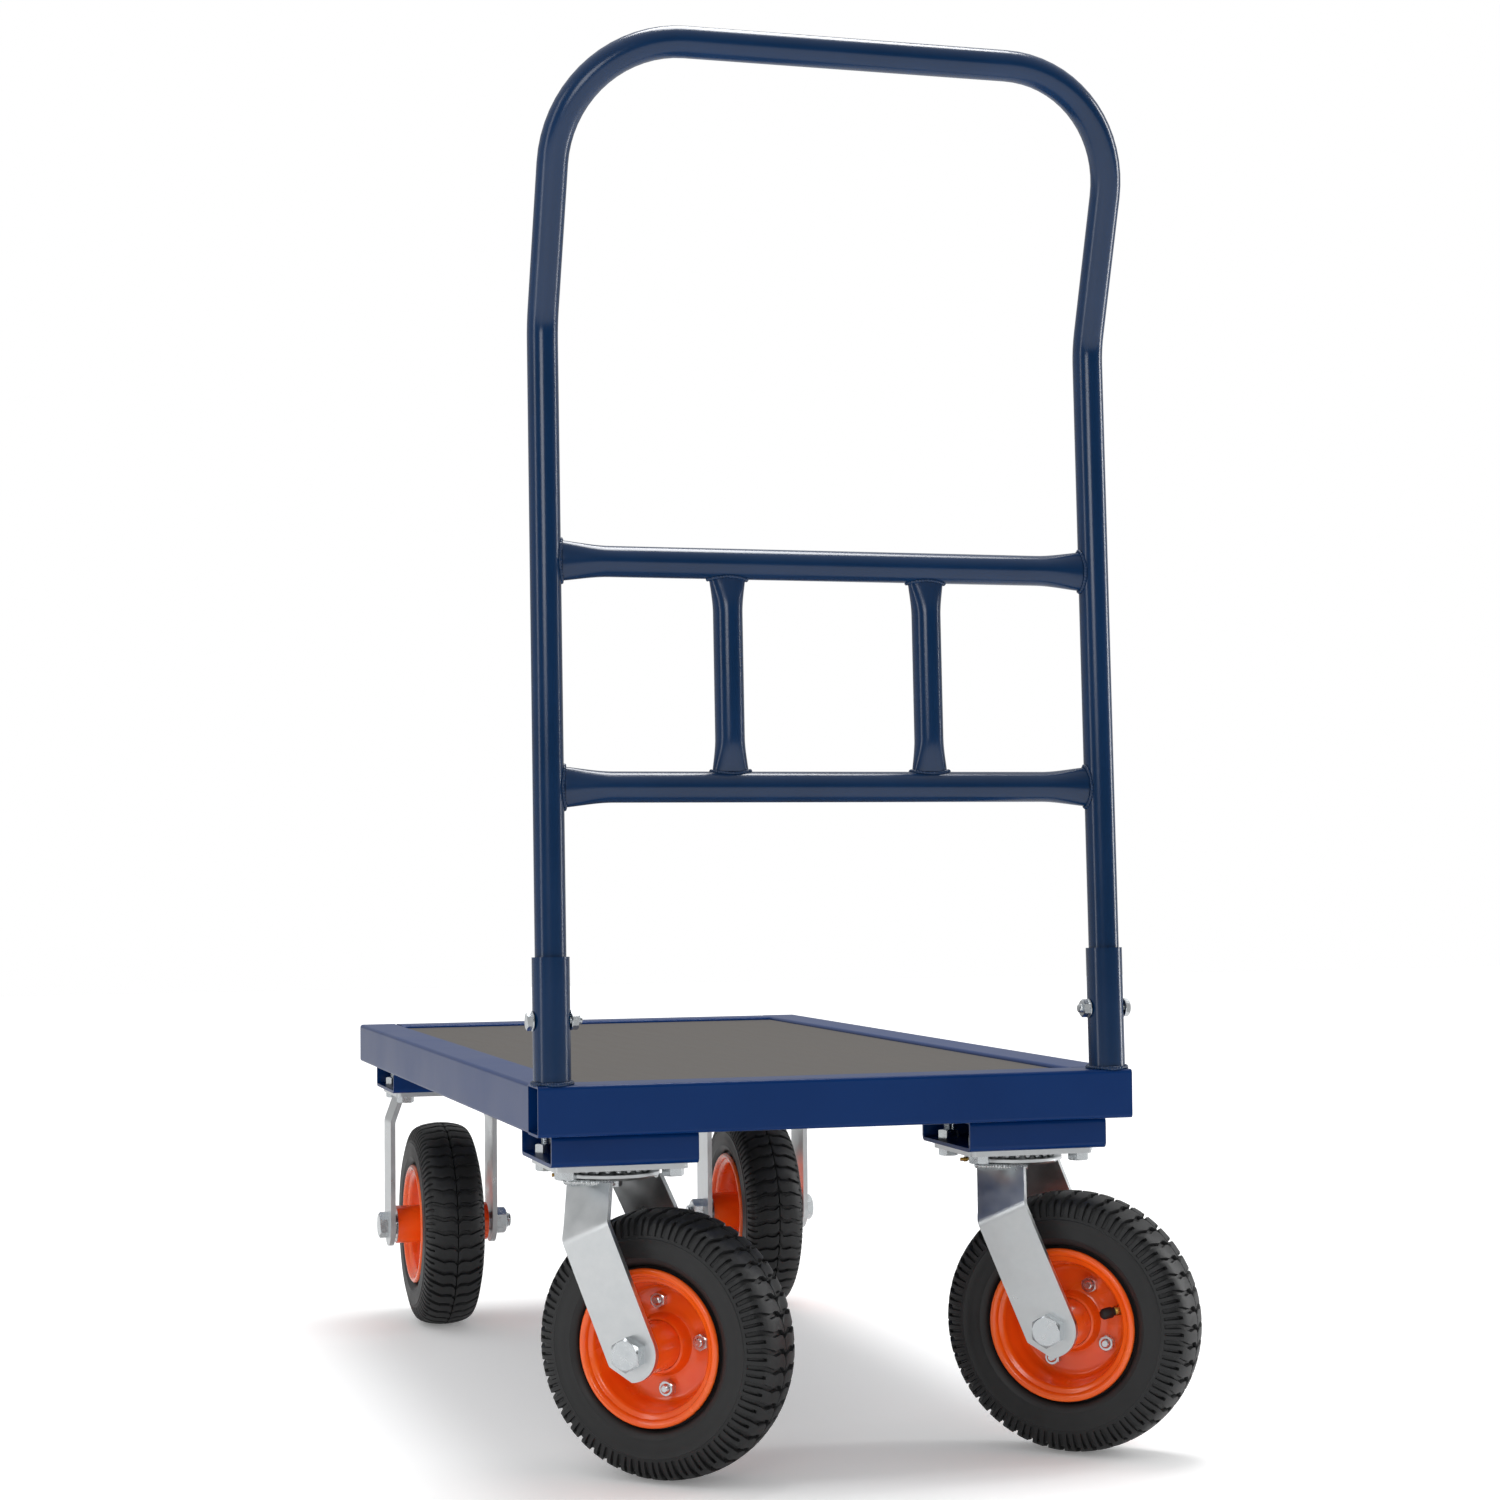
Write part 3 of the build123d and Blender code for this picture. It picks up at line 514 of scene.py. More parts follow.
def build_tyre():
    """One whole tyre about the X axis."""
    bm = bmesh.new()
    points = outside + inside
    steps = LUGS * STEPS_PER_LUG
    spin_section(bm, points, steps)
    bmesh.ops.remove_doubles(bm, verts=bm.verts, dist=0.002 * MM)
    row_of = {(round(x, 2), round(r, 2)): row for row, (x, r) in enumerate(points)}
    place = {}
    for v in bm.verts:
        spot = (round(v.co.x / MM, 2), round(hypot(v.co.y, v.co.z) / MM, 2))
        column = round(atan2(-v.co.y, v.co.z) * steps / (2 * pi)) % steps
        place[v] = (row_of[spot], column)

    pitch = 2 * pi / LUGS
    for v, (row, column) in place.items():
        if row <= LAST_TREAD_ROW:
            line = column % STEPS_PER_LUG
            shift = (groove_share[line] - line / STEPS_PER_LUG) * pitch
            if row < len(wave_rows):
                shift += wave_rows[row] / TREAD_RADIUS
            v.co = Matrix.Rotation(shift, 3, "X") @ v.co

    grooves = []
    for face in bm.faces:
        rows = [place[v][0] for v in face.verts]
        columns = sorted({place[v][1] for v in face.verts})
        line = (columns[0] if columns[-1] - columns[0] < 2 else columns[-1]) % STEPS_PER_LUG
        in_centre = max(rows) <= 1
        in_slot = line == 2 and min(rows) >= FIRST_SLOT_ROW
        if max(rows) <= LAST_TREAD_ROW and (line == 0 or in_centre or in_slot):
            grooves.append(face)
    bmesh.ops.recalc_face_normals(bm, faces=bm.faces)
    walls = bmesh.ops.inset_region(
        bm, faces=grooves, thickness=WALL_SLOPE * MM, use_even_offset=True, use_boundary=False
    )["faces"]
    bm.normal_update()
    floor_verts = {v for face in grooves for v in face.verts}
    sunk = {v: v.co - v.normal * groove_depth(hypot(v.co.y, v.co.z) / MM) * MM for v in floor_verts}
    for v, spot in sunk.items():
        v.co = spot if v.co.x > 0.01 * MM else Vector((0, spot.y, spot.z))
    slopes = set(walls)
    floors = set(grooves)
    rims = [
        e
        for e in bm.edges
        if len(e.link_faces) == 2
        and len(slopes & set(e.link_faces)) == 1
        and not floors & set(e.link_faces)
    ]
    bmesh.ops.bevel(
        bm, geom=rims, offset=0.35 * MM, affect="EDGES", segments=1, profile=0.5, material=-1
    )
    bmesh.ops.mirror(bm, geom=bm.verts[:] + bm.edges[:] + bm.faces[:], axis="X", merge_dist=0.01 * MM)
    bmesh.ops.remove_doubles(bm, verts=bm.verts, dist=0.01 * MM)
    bmesh.ops.recalc_face_normals(bm, faces=bm.faces)
    return bm


tyre_mesh = build_tyre()
print("tyre faces:", len(tyre_mesh.faces), "open edges:", sum(e.is_boundary for e in tyre_mesh.edges))
for name in wheel_names:
    tyre = tyre_mesh.copy()
    tyre.transform(wheel_place[name])
    finish_piece(
        f"{name}_treaded_tyre", tyre, tyre_rubber, f"{name}_wheel", [f"{name}_tyre"], 28
    )
tyre_mesh.free()

# %% [markdown]
# ## Pressed rims
# Each rim is two steel pressings, bolted back to back. From outside it shows a rolled lip, a step
# where the tyre's bead sits, a deep well, a flat disc for the bolts and a collar round the hub.
# One line, spun about the axle, gives the face of a pressing, solidify gives the sheet its two
# millimetres, and a mirror makes the other half.

# %% Rims
rim_line = [
    (13.4, 20.3),
    (13.0, 22.0),
    (11.0, 23.0),
    (6.0, 23.8),
    (3.2, 25.2),
    (2.2, 27.6),
    (2.1, 31.0),
    (2.1, 39.0),
    (2.1, 42.6),
    (2.8, 44.9),
    (4.8, 46.4),
    (8.5, 47.3),
    (13.0, 48.2),
    (16.2, 49.6),
    (19.0, 50.8),
    (23.0, 51.3),
    (25.6, 51.9),
    (26.9, 53.2),
    (27.2, 54.8),
    (27.9, 56.1),
    (29.6, 56.7),
    (31.2, 57.8),
    (31.9, 59.6),
    (31.7, 61.4),
    (30.4, 62.7),
    (28.8, 62.9),
]
RIM_STEPS = 160
RIM_SHEET = 1.8 * MM


def from_axle(point):
    """Distance of a point from the wheel's axle."""
    return hypot(point.y, point.z)


def build_rim():
    """Both pressings of one rim about the X axis."""
    bm = bmesh.new()
    spin_section(bm, rim_line, RIM_STEPS)
    bmesh.ops.remove_doubles(bm, verts=bm.verts, dist=0.002 * MM)
    bmesh.ops.recalc_face_normals(bm, faces=bm.faces)
    middle_of_disc = 35 * MM
    disc = min(bm.faces, key=lambda f: abs(from_axle(f.calc_center_median()) - middle_of_disc))
    if disc.normal.x < 0:
        bmesh.ops.reverse_faces(bm, faces=bm.faces)
    bmesh.ops.solidify(bm, geom=bm.faces[:], thickness=RIM_SHEET)
    bmesh.ops.mirror(bm, geom=bm.verts[:] + bm.edges[:] + bm.faces[:], axis="X", merge_dist=-1)
    bmesh.ops.recalc_face_normals(bm, faces=bm.faces)
    return bm


rim_mesh = build_rim()
lows = min(v.co.x for v in rim_mesh.verts if from_axle(v.co) < 40 * MM and v.co.x > 0)
print("rim faces:", len(rim_mesh.faces), "disc back at", round(lows / MM, 2), "mm")
for name in wheel_names:
    pressing = rim_mesh.copy()
    pressing.transform(wheel_place[name])
    halves = [f"{name}_rim_halves"]
    finish_piece(
        f"{name}_pressed_rim", pressing, rim_enamel, f"{name}_wheel", halves, 40
    )
rim_mesh.free()

# %% [markdown]
# ## Turned and hexagonal parts
# Nearly every fastener is either turned, so a line spun about its own axis, or a hexagon with a
# turned chamfer that takes its corners off. Two helpers make them, each in a mesh of its own with
# its foot at the origin and its axis along Z, and a third puts one in its place in a larger mesh.

# %% Helpers for fasteners
CHAMFER = radians(30)
FACE_SHARE = 0.95
THREAD_DEPTH = 0.55


def turned(line, segments=24):
    """Spin a line of (radius, height) points, in millimetres, about the Z axis."""
    bm = bmesh.new()
    chain = [bm.verts.new((r * MM, 0, z * MM)) for r, z in line]
    edges = [bm.edges.new(pair) for pair in zip(chain, chain[1:])]
    bmesh.ops.spin(
        bm,
        geom=chain + edges,
        axis=(0, 0, 1),
        cent=(0, 0, 0),
        angle=2 * pi,
        steps=segments,
        use_merge=True,
    )
    bmesh.ops.remove_doubles(bm, verts=bm.verts, dist=0.002 * MM)
    bmesh.ops.recalc_face_normals(bm, faces=bm.faces)
    return bm


def hexagonal(flats, height):
    """A hexagon that stands on the origin, with the turned chamfer of a bolt head on its top."""
    bm = bmesh.new()
    across_corners = flats / cos(pi / 6)
    ring = bmesh.ops.create_circle(bm, cap_ends=False, segments=6, radius=across_corners / 2 * MM)
    first = ring["verts"][0].co
    turn = Matrix.Rotation(-atan2(first.y, first.x), 3, "Z")
    bmesh.ops.rotate(bm, verts=bm.verts, cent=(0, 0, 0), matrix=turn)
    bmesh.ops.subdivide_edges(bm, edges=bm.edges[:], cuts=5)
    outline = bm.edges[:]
    bmesh.ops.contextual_create(bm, geom=outline)
    face_radius = flats / 2 * FACE_SHARE * MM
    raised = bmesh.ops.extrude_edge_only(bm, edges=outline)["geom"]
    top = [v for v in raised if isinstance(v, bmesh.types.BMVert)]
    for v in top:
        beyond = max(0.0, hypot(v.co.x, v.co.y) - face_radius)
        v.co.z = height * MM - beyond * tan(CHAMFER)
    top_edges = [e for e in raised if isinstance(e, bmesh.types.BMEdge)]
    flat = bmesh.ops.extrude_edge_only(bm, edges=top_edges)["geom"]
    for v in (v for v in flat if isinstance(v, bmesh.types.BMVert)):
        level_out = Vector((v.co.x, v.co.y, 0)).normalized() * face_radius
        v.co = Vector((level_out.x, level_out.y, height * MM))
    bmesh.ops.contextual_create(bm, geom=[e for e in flat if isinstance(e, bmesh.types.BMEdge)])
    bmesh.ops.recalc_face_normals(bm, faces=bm.faces)
    return bm


def put(into, part, place):
    """Move a small mesh to its place and add it to a larger one."""
    part.transform(place)
    carrier = bpy.data.meshes.new("carrier")
    part.to_mesh(carrier)
    part.free()
    into.from_mesh(carrier)
    bpy.data.meshes.remove(carrier)


def facing_along(where, direction, upwards=(0, 0, 1)):
    """Matrix that stands a part on a point with its Z axis along a direction."""
    z = Vector(direction).normalized()
    x = Vector(upwards) - z * z.dot(Vector(upwards))
    x = x.normalized() if x.length > 0.1 else Vector((1, 0, 0))
    y = z.cross(x)
    return Matrix.Translation(where) @ Matrix((x, y, z)).transposed().to_4x4()


def thread_line(diameter, start, end, pitch):
    """Line of a threaded rod: ridges a pitch apart, then a chamfered end."""
    crest, root = diameter / 2, diameter / 2 - THREAD_DEPTH * pitch
    line = [(0.0, start), (root, start)]
    height = start
    while height + pitch < end - 0.6:
        line += [(crest, height + 0.5 * pitch), (root, height + pitch)]
        height += pitch
    return line + [(root, end - 0.5), (root - 0.8, end), (0.0, end)]


# %% [markdown]
# ## Bolts and nuts
# A bolt here is a head, a plain shank, and a nut with the end of the thread standing out of it.
# Only the socket bolts have washers. Sizes are the standard ones for the thread, in millimetres:
# width across flats, head height, nut height, thread pitch and washer diameter. The rim bolts are
# of the small series, 12 mm across flats.

# %% Bolt sizes and the bolt builder
M8 = {"thread": 8, "flats": 13, "head": 5.3, "nut": 6.5, "pitch": 1.25, "washer": 16}
M10 = {"thread": 10, "flats": 16, "head": 6.4, "nut": 8.0, "pitch": 1.5, "washer": 20}
M16 = {"thread": 16, "flats": 24, "head": 10.0, "nut": 13.0, "pitch": 2.0, "washer": 28}
WASHER_THICK = 1.0
SHANK_INSIDE = 0.5
THREAD_INSIDE = 1.0


def washer(size):
    """A thin washer with rounded edges, standing on the origin."""
    edge = size["washer"] / 2
    bore = size["thread"] / 2 + 0.1
    line = [(bore, 0), (edge - 0.2, 0), (edge, 0.2), (edge, 0.8), (edge - 0.3, WASHER_THICK)]
    line += [(bore, WASHER_THICK), (bore, 0)]
    return turned(line, 32)


def add_bolt(into, size, head_at, outward, grip, stub, washers=True):
    """Bolt whose head stands on a point, and whose nut is a grip's length behind it."""
    outward = Vector(outward).normalized()
    lift = WASHER_THICK if washers else 0.0
    nut_at = Vector(head_at) - outward * grip * MM
    if washers:
        put(into, washer(size), facing_along(head_at, outward))
        put(into, washer(size), facing_along(nut_at, -outward))
    head = hexagonal(size["flats"], size["head"] - lift)
    put(into, head, facing_along(head_at + outward * lift * MM, outward))
    nut = hexagonal(size["flats"], size["nut"] - lift)
    put(into, nut, facing_along(nut_at - outward * lift * MM, -outward))
    radius, nut_end = size["thread"] / 2, grip + size["nut"]
    shank_end = nut_end - SHANK_INSIDE
    shank = turned([(0, 0), (radius, 0), (radius, shank_end), (0, shank_end)])
    put(into, shank, facing_along(head_at, -outward))
    end = thread_line(size["thread"], nut_end - THREAD_INSIDE, nut_end + stub, size["pitch"])
    put(into, turned(end), facing_along(head_at, -outward))


# %% Axle bolts
LEG_FACE = 57.5
AXLE_STUB = 5.0
axle_bodies = {
    "front_left": ("front_left_fork", "front_left_axle_bolt"),
    "front_right": ("front_right_fork", "front_right_axle_bolt"),
}
rear_axles = bmesh.new()
for name in wheel_names:
    side = wheel_place[name].to_3x3() @ Vector((-1, 0, 0))
    head_at = wheel_place[name].translation + side * LEG_FACE * MM
    if name in axle_bodies:
        body, node = axle_bodies[name]
        bolt = bmesh.new()
        add_bolt(bolt, M16, head_at, side, 2 * LEG_FACE, AXLE_STUB, washers=False)
        finish_piece(f"{name}_hex_axle_bolt", bolt, bolt_zinc, body, [node], 30)
    else:
        add_bolt(rear_axles, M16, head_at, side, 2 * LEG_FACE, AXLE_STUB, washers=False)
finish_piece("rear_hex_axle_bolts", rear_axles, bolt_zinc, "frame", ["rear_axle_bolts"], 30)
print("axle bolts done")

# %% Rim bolts
SMALL_M8 = {**M8, "flats": 12}
RIM_BOLT_RADIUS = 35.0
RIM_GRIP = 2.1
RIM_STUB = 2.5
rim_turn = {"front_left": 6.0, "front_right": -28.0, "rear_left": 20.0, "rear_right": 35.0}
for name in wheel_names:
    bolts = bmesh.new()
    for quarter in range(4):
        angle = radians(rim_turn[name] + 90 * quarter)
        spot = Vector((RIM_GRIP, -RIM_BOLT_RADIUS * cos(angle), RIM_BOLT_RADIUS * sin(angle))) * MM
        outward = wheel_place[name].to_3x3() @ Vector((1, 0, 0))
        head_at = wheel_place[name] @ spot
        add_bolt(bolts, SMALL_M8, head_at, outward, 2 * RIM_GRIP, RIM_STUB, washers=False)
    plain = [f"{name}_rim_bolts"]
    finish_piece(f"{name}_hex_rim_bolts", bolts, bolt_zinc, f"{name}_wheel", plain, 30)
print("rim bolts done")

# %% Plate bolts
BOLT_X, BOLT_Y = 44.0, 37.0
PLATE_GRIP = 8.0
PLATE_STUB = 9.0
plate_low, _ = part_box("front_left_top_plate")
bolts = bmesh.new()
for corner in wheel_names:
    low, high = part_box(f"{corner}_caster_box")
    for dx in (-BOLT_X, BOLT_X):
        for dy in (-BOLT_Y, BOLT_Y):
            head_at = Vector(((low.x + high.x) / 2 + dx * MM, (low.y + high.y) / 2 + dy * MM, plate_low.z))
            add_bolt(bolts, M10, head_at, (0, 0, -1), PLATE_GRIP, PLATE_STUB, washers=False)
finish_piece("hex_plate_bolts", bolts, bolt_zinc, "frame", ["plate_bolts"], 30)

# %% Socket bolts
low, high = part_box("socket_bolts")
SOCKET_ACROSS = 30.0
SOCKET_FACE = 250.0
SOCKET_STUB = 3.0
bolts = bmesh.new()
for side in (-1, 1):
    head_at = Vector((side * SOCKET_FACE * MM, (low.y + high.y) / 2, (low.z + high.z) / 2))
    add_bolt(bolts, M8, head_at, (side, 0, 0), SOCKET_ACROSS, SOCKET_STUB)
finish_piece("hex_socket_bolts", bolts, bolt_zinc, "frame", ["socket_bolts"], 30)
print("plate and socket bolts done")

# %% [markdown]
# ## Valves
# The inner tube's valve comes through the well wall and points in, towards the hub. Its stem is
# already there in rubber; it gets a knurled brass ring where it leaves the rim, and a ribbed cap.

# %% Valve rings and caps
valve_angle = {"front_left": 141.0, "front_right": 16.0, "rear_left": 64.0, "rear_right": 79.0}
VALVE_ROOT, VALVE_OFFSET, VALVE_LEAN = 61.5, 2.0, 0.6
RIBS, RIB_RADIUS, RIB_PINCH = 20, 4.25, 0.94
ring_line = [(0, 17), (4.9, 17), (4.9, 18.4), (4.3, 18.8), (4.3, 22.6), (3.8, 23.2), (0, 23.2)]
cap_line = [(0, 25.4), (4.4, 25.4), (4.7, 26.2), (4.7, 32.4)]
cap_line += [(4.2, 33.6), (3.0, 34.6), (2.4, 35.4), (0, 35.6)]
for name in wheel_names:
    angle = radians(valve_angle[name])
    outward = Vector((0, -cos(angle), sin(angle)))
    stem = outward * -sqrt(1 - VALVE_LEAN**2) + Vector((-VALVE_LEAN, 0, 0))
    root = outward * VALVE_ROOT * MM - Vector((VALVE_OFFSET * MM, 0, 0))
    place = wheel_place[name] @ facing_along(root, stem, upwards=(1, 0, 0))
    for part, line, material, slot in (
        ("valve_ring", ring_line, nipple_brass, "brass"),
        ("valve_cap", cap_line, tube_rubber, "tube_rubber"),
    ):
        piece = turned(line, RIBS)
        for v in piece.verts:
            odd = round(atan2(v.co.y, v.co.x) / (2 * pi / RIBS)) % 2
            if odd and hypot(v.co.x, v.co.y) > RIB_RADIUS * MM:
                v.co.x *= RIB_PINCH
                v.co.y *= RIB_PINCH
        piece.transform(place)
        finish_piece(f"{name}_{part}", piece, material, f"{name}_wheel", crisp=40)
print("valves done")

# %% [markdown]
# ## Crossbars and struts
# The lattice in the handle is round tube whose ends are pressed flat and tall, so that they spread
# smoothly against the tube that they are welded to. A ring of points is made at each station along
# the tube, pressed into its oval, and the rings are bridged. The last ring is pushed out until it
# lies on the other tube's surface.

# %% Pressed tubes
LEAN_FOOT, LEAN_KINK, KINK_RISE = 17.0, 39.0, 605.0
DECK_TOP, NEAR_EDGE = 318.0, -480.0
HANDLE_X = 235.0
HANDLE_RADIUS = 12.5
RISES = (234.0, 415.0)
STRUT_X = 85.0
STRUT_RADIUS = 12.0
BAR_END, BAR_FLARE = (34, 15), 52
STRUT_END, STRUT_FLARE = (32, 13), 40


def on_handle(x, rise):
    """Point on the handle's leaning plane, in millimetres."""
    depth = LEAN_FOOT + (LEAN_KINK - LEAN_FOOT) * rise / KINK_RISE
    return Vector((x, NEAR_EDGE + depth, DECK_TOP + rise))


lean = (on_handle(0, KINK_RISE) - on_handle(0, 0)).normalized()
across = Vector((1, 0, 0))
through = lean.cross(across)


def pressed_tube(middle, along, tall, half, radius, spread, flare):
    """Tube from -half to half along a direction, its ends pressed into tall ovals."""
    bm = bmesh.new()
    thin = along.cross(tall)
    stations = 14
    flat = half - flare
    distances = [-half + flare * i / stations for i in range(stations)]
    distances += [-flat, 0.0, flat] + [flat + flare * (i + 1) / stations for i in range(stations)]
    loops = []
    for distance in distances:
        share = max(0.0, (abs(distance) - flat) / flare)
        share = share * share * (3 - 2 * share)
        height = radius + (spread[0] / 2 - radius) * share
        depth = radius + (spread[1] / 2 - radius) * share
        ring = bmesh.ops.create_circle(bm, cap_ends=False, segments=48, radius=1.0)["verts"]
        for v in ring:
            up_part, deep_part = v.co.x * height, v.co.y * depth
            reach = distance
            if abs(distance) == half:
                bite = sqrt(HANDLE_RADIUS**2 - deep_part**2) - 0.2
                reach = (half - bite) * (1 if distance > 0 else -1)
            elif abs(distance) > half - HANDLE_RADIUS:
                reach = (half - HANDLE_RADIUS) * (1 if distance > 0 else -1)
            v.co = (middle + along * reach + tall * up_part + thin * deep_part) * MM
        loops.append([e for e in bm.edges if e.verts[0] in set(ring)])
    for near, far in zip(loops, loops[1:]):
        bmesh.ops.bridge_loops(bm, edges=near + far)
    for end in (loops[0], loops[-1]):
        bmesh.ops.contextual_create(bm, geom=end)
    bmesh.ops.remove_doubles(bm, verts=bm.verts, dist=0.01 * MM)
    bmesh.ops.recalc_face_normals(bm, faces=bm.faces)
    return bm


for node, rise in zip(("lower_crossbar", "upper_crossbar"), RISES):
    bar = pressed_tube(on_handle(0, rise), across, lean, HANDLE_X, HANDLE_RADIUS, BAR_END, BAR_FLARE)
    finish_piece(f"{node}_pressed", bar, handle_paint, "frame", [node], 50)
struts = bmesh.new()
strut_ends = [[on_handle(side * STRUT_X, rise) for rise in RISES] for side in (-1, 1)]
for foot, top in strut_ends:
    middle, half = (foot + top) / 2, (top - foot).length / 2
    strut = pressed_tube(middle, lean, across, half, STRUT_RADIUS, STRUT_END, STRUT_FLARE)
    put(struts, strut, Matrix.Identity(4))
finish_piece(
    "lattice_struts_pressed", struts, handle_paint, "frame", ["lattice_struts"], 50
)
print("lattice done")

# %% [markdown]
# ## Weld beads
# Where two parts are welded there is a bead, a low ridge made of overlapping ripples. A path along
# the joint becomes a bevelled curve whose radius swells and shrinks with each ripple, about every
# 2.4 mm, and wanders a little, because the welder's hand does. The curve is then made a mesh.

# %% Weld beads
RIPPLE = 2.4


def weld_bead(name, path, radius, material, body, closed=False):
    """Rippled bead along a path given in millimetres."""
    legs = list(zip(path, path[1:] + path[:1] if closed else path[1:]))
    walked, spots = 0.0, []
    for start, end in legs:
        length = (end - start).length
        pieces = max(1, round(length / (RIPPLE / 4)))
        for i in range(pieces):
            spots.append((start.lerp(end, i / pieces), walked + length * i / pieces))
        walked += length
    if not closed:
        spots.append((path[-1], walked))
    curve = bpy.data.curves.new(name, "CURVE")
    curve.dimensions = "3D"
    curve.bevel_depth = radius * MM
    curve.bevel_resolution = 2
    curve.use_fill_caps = True
    line = curve.splines.new("POLY")
    line.points.add(len(spots) - 1)
    line.use_cyclic_u = closed
    for point, (spot, distance) in zip(line.points, spots):
        wander = noise.noise(spot * 0.13)
        drift = Vector((noise.noise(spot * 0.3), noise.noise(spot * 0.3 + across * 9), 0)) * 0.3
        point.co = (*((spot + drift) * MM), 1)
        point.radius = 1 + 0.16 * sin(2 * pi * distance / RIPPLE) + 0.3 * wander
    holder = bpy.data.objects.new("bead_path", curve)
    bpy.context.scene.collection.objects.link(holder)
    bpy.context.view_layer.update()
    mesh = bpy.data.meshes.new_from_object(holder.evaluated_get(bpy.context.evaluated_depsgraph_get()))
    bead = bmesh.new()
    bead.from_mesh(mesh)
    bpy.data.objects.remove(holder)
    bpy.data.meshes.remove(mesh)
    bmesh.ops.remove_doubles(bead, verts=bead.verts, dist=0.005 * MM)
    bmesh.ops.recalc_face_normals(bead, faces=bead.faces)
    return finish_piece(name, bead, material, body, crisp=60)


def oval(centre, first, second, lift):
    """Closed path: two half-axis vectors about a centre, raised by a function of the second share."""
    turns = [2 * pi * i / 28 for i in range(28)]
    return [centre + first * cos(t) + second * sin(t) + lift(sin(t)) for t in turns]


BEAD_OUT = 0.4
SOCKET_BEAD, SOCKET_WELD = 1.9, 15.6
TUBE_BEAD = 1.5
WELD_RISE = 1.0
BAR_WELD, STRUT_WELD = (17.4, 8.0), (16.4, 7.0)
for side, word in ((-1, "left"), (1, "right")):
    foot = on_handle(side * HANDLE_X, 0)
    above = foot + Vector((0, 0, WELD_RISE))
    ring = oval(above, across * SOCKET_WELD, Vector((0, SOCKET_WELD, 0)), lambda share: Vector())
    weld_bead(f"{word}_socket_weld", ring, SOCKET_BEAD, handle_paint, "frame", True)
    for level_name, rise in zip(("lower", "upper"), RISES):
        centre = on_handle(side * HANDLE_X, rise)

        def onto_upright(share, side=side):
            return across * -side * (sqrt((HANDLE_RADIUS + BEAD_OUT) ** 2 - (BAR_WELD[1] * share) ** 2))

        ring = oval(centre, lean * BAR_WELD[0], through * BAR_WELD[1], onto_upright)
        label = f"{word}_{level_name}_crossbar_weld"
        weld_bead(label, ring, TUBE_BEAD, handle_paint, "frame", True)
for (foot, top), word in zip(strut_ends, ("left", "right")):
    for spot, way, level_name in ((foot, 1, "lower"), (top, -1, "upper")):

        def onto_bar(share, way=way):
            return lean * way * sqrt((HANDLE_RADIUS + BEAD_OUT) ** 2 - (STRUT_WELD[1] * share) ** 2)

        ring = oval(spot, across * STRUT_WELD[0], through * STRUT_WELD[1], onto_bar)
        label = f"{word}_strut_{level_name}_weld"
        weld_bead(label, ring, TUBE_BEAD, handle_paint, "frame", True)
print("handle welds done")

# %% Caster welds
TURNTABLE_RADIUS = 41.0
LEG_TOP_OUT = 38.4
FIXED_TOP_OUT = 47.3
LEG_WELD = 44.0
FORK_WELD_START = -19.0
FORK_BEAD, FIXED_BEAD = 2.3, 2.2
for name in ("front_left", "front_right"):
    turntable_low, turntable_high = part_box(f"{name}_turntable")
    middle = (turntable_low + turntable_high) / 2 / MM
    axle = wheel_place[name].to_3x3() @ across
    heading = axle.cross(Vector((0, 0, 1)))
    for side, word in ((-1, "outer"), (1, "inner")):
        path = []
        for step in range(22):
            u = FORK_WELD_START + LEG_WELD * step / 21
            out = min(LEG_TOP_OUT + 1.2, sqrt(TURNTABLE_RADIUS**2 - u * u) + 0.6)
            under = Vector((middle.x, middle.y, turntable_low.z / MM - 0.6))
            path.append(under + heading * u + axle * side * out)
        weld_bead(f"{name}_{word}_leg_weld", path, FORK_BEAD, weld_zinc, f"{name}_fork")
plate_low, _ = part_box("rear_caster_plates")
for name in ("rear_left", "rear_right"):
    middle = wheel_place[name].translation / MM
    for side, word in ((-1, "outer"), (1, "inner")):
        axle = wheel_place[name].to_3x3() @ across
        along = Vector((0, 1, 0))
        start = Vector((middle.x, middle.y, plate_low.z / MM - 0.8)) + axle * side * (FIXED_TOP_OUT + 0.8)
        path = [start + along * (-LEG_WELD / 2 + LEG_WELD * i / 8) for i in range(9)]
        weld_bead(f"{name}_{word}_leg_weld", path, FIXED_BEAD, weld_zinc, "frame")
print("caster welds done")

# %% [markdown]
# ## The studio
# The truck stands on a plain pale floor under a soft light, with one long light at each side and
# a weaker one in front. The floor glows a little, more so further out, so that it runs into the
# white backdrop with no horizon. What glossy surfaces see of the floor and the world is dimmed,
# and the world is darker on the near side, so that the metal has something dark to reflect.

# %% Floor
FLOOR_HALF = 9.0
floor_mesh = bmesh.new()
bmesh.ops.create_grid(floor_mesh, x_segments=1, y_segments=1, size=FLOOR_HALF)
floor_data = bpy.data.meshes.new("studio_floor")
floor_mesh.to_mesh(floor_data)
floor_mesh.free()
floor = bpy.data.objects.new("studio_floor", floor_data)
bpy.context.scene.collection.objects.link(floor)

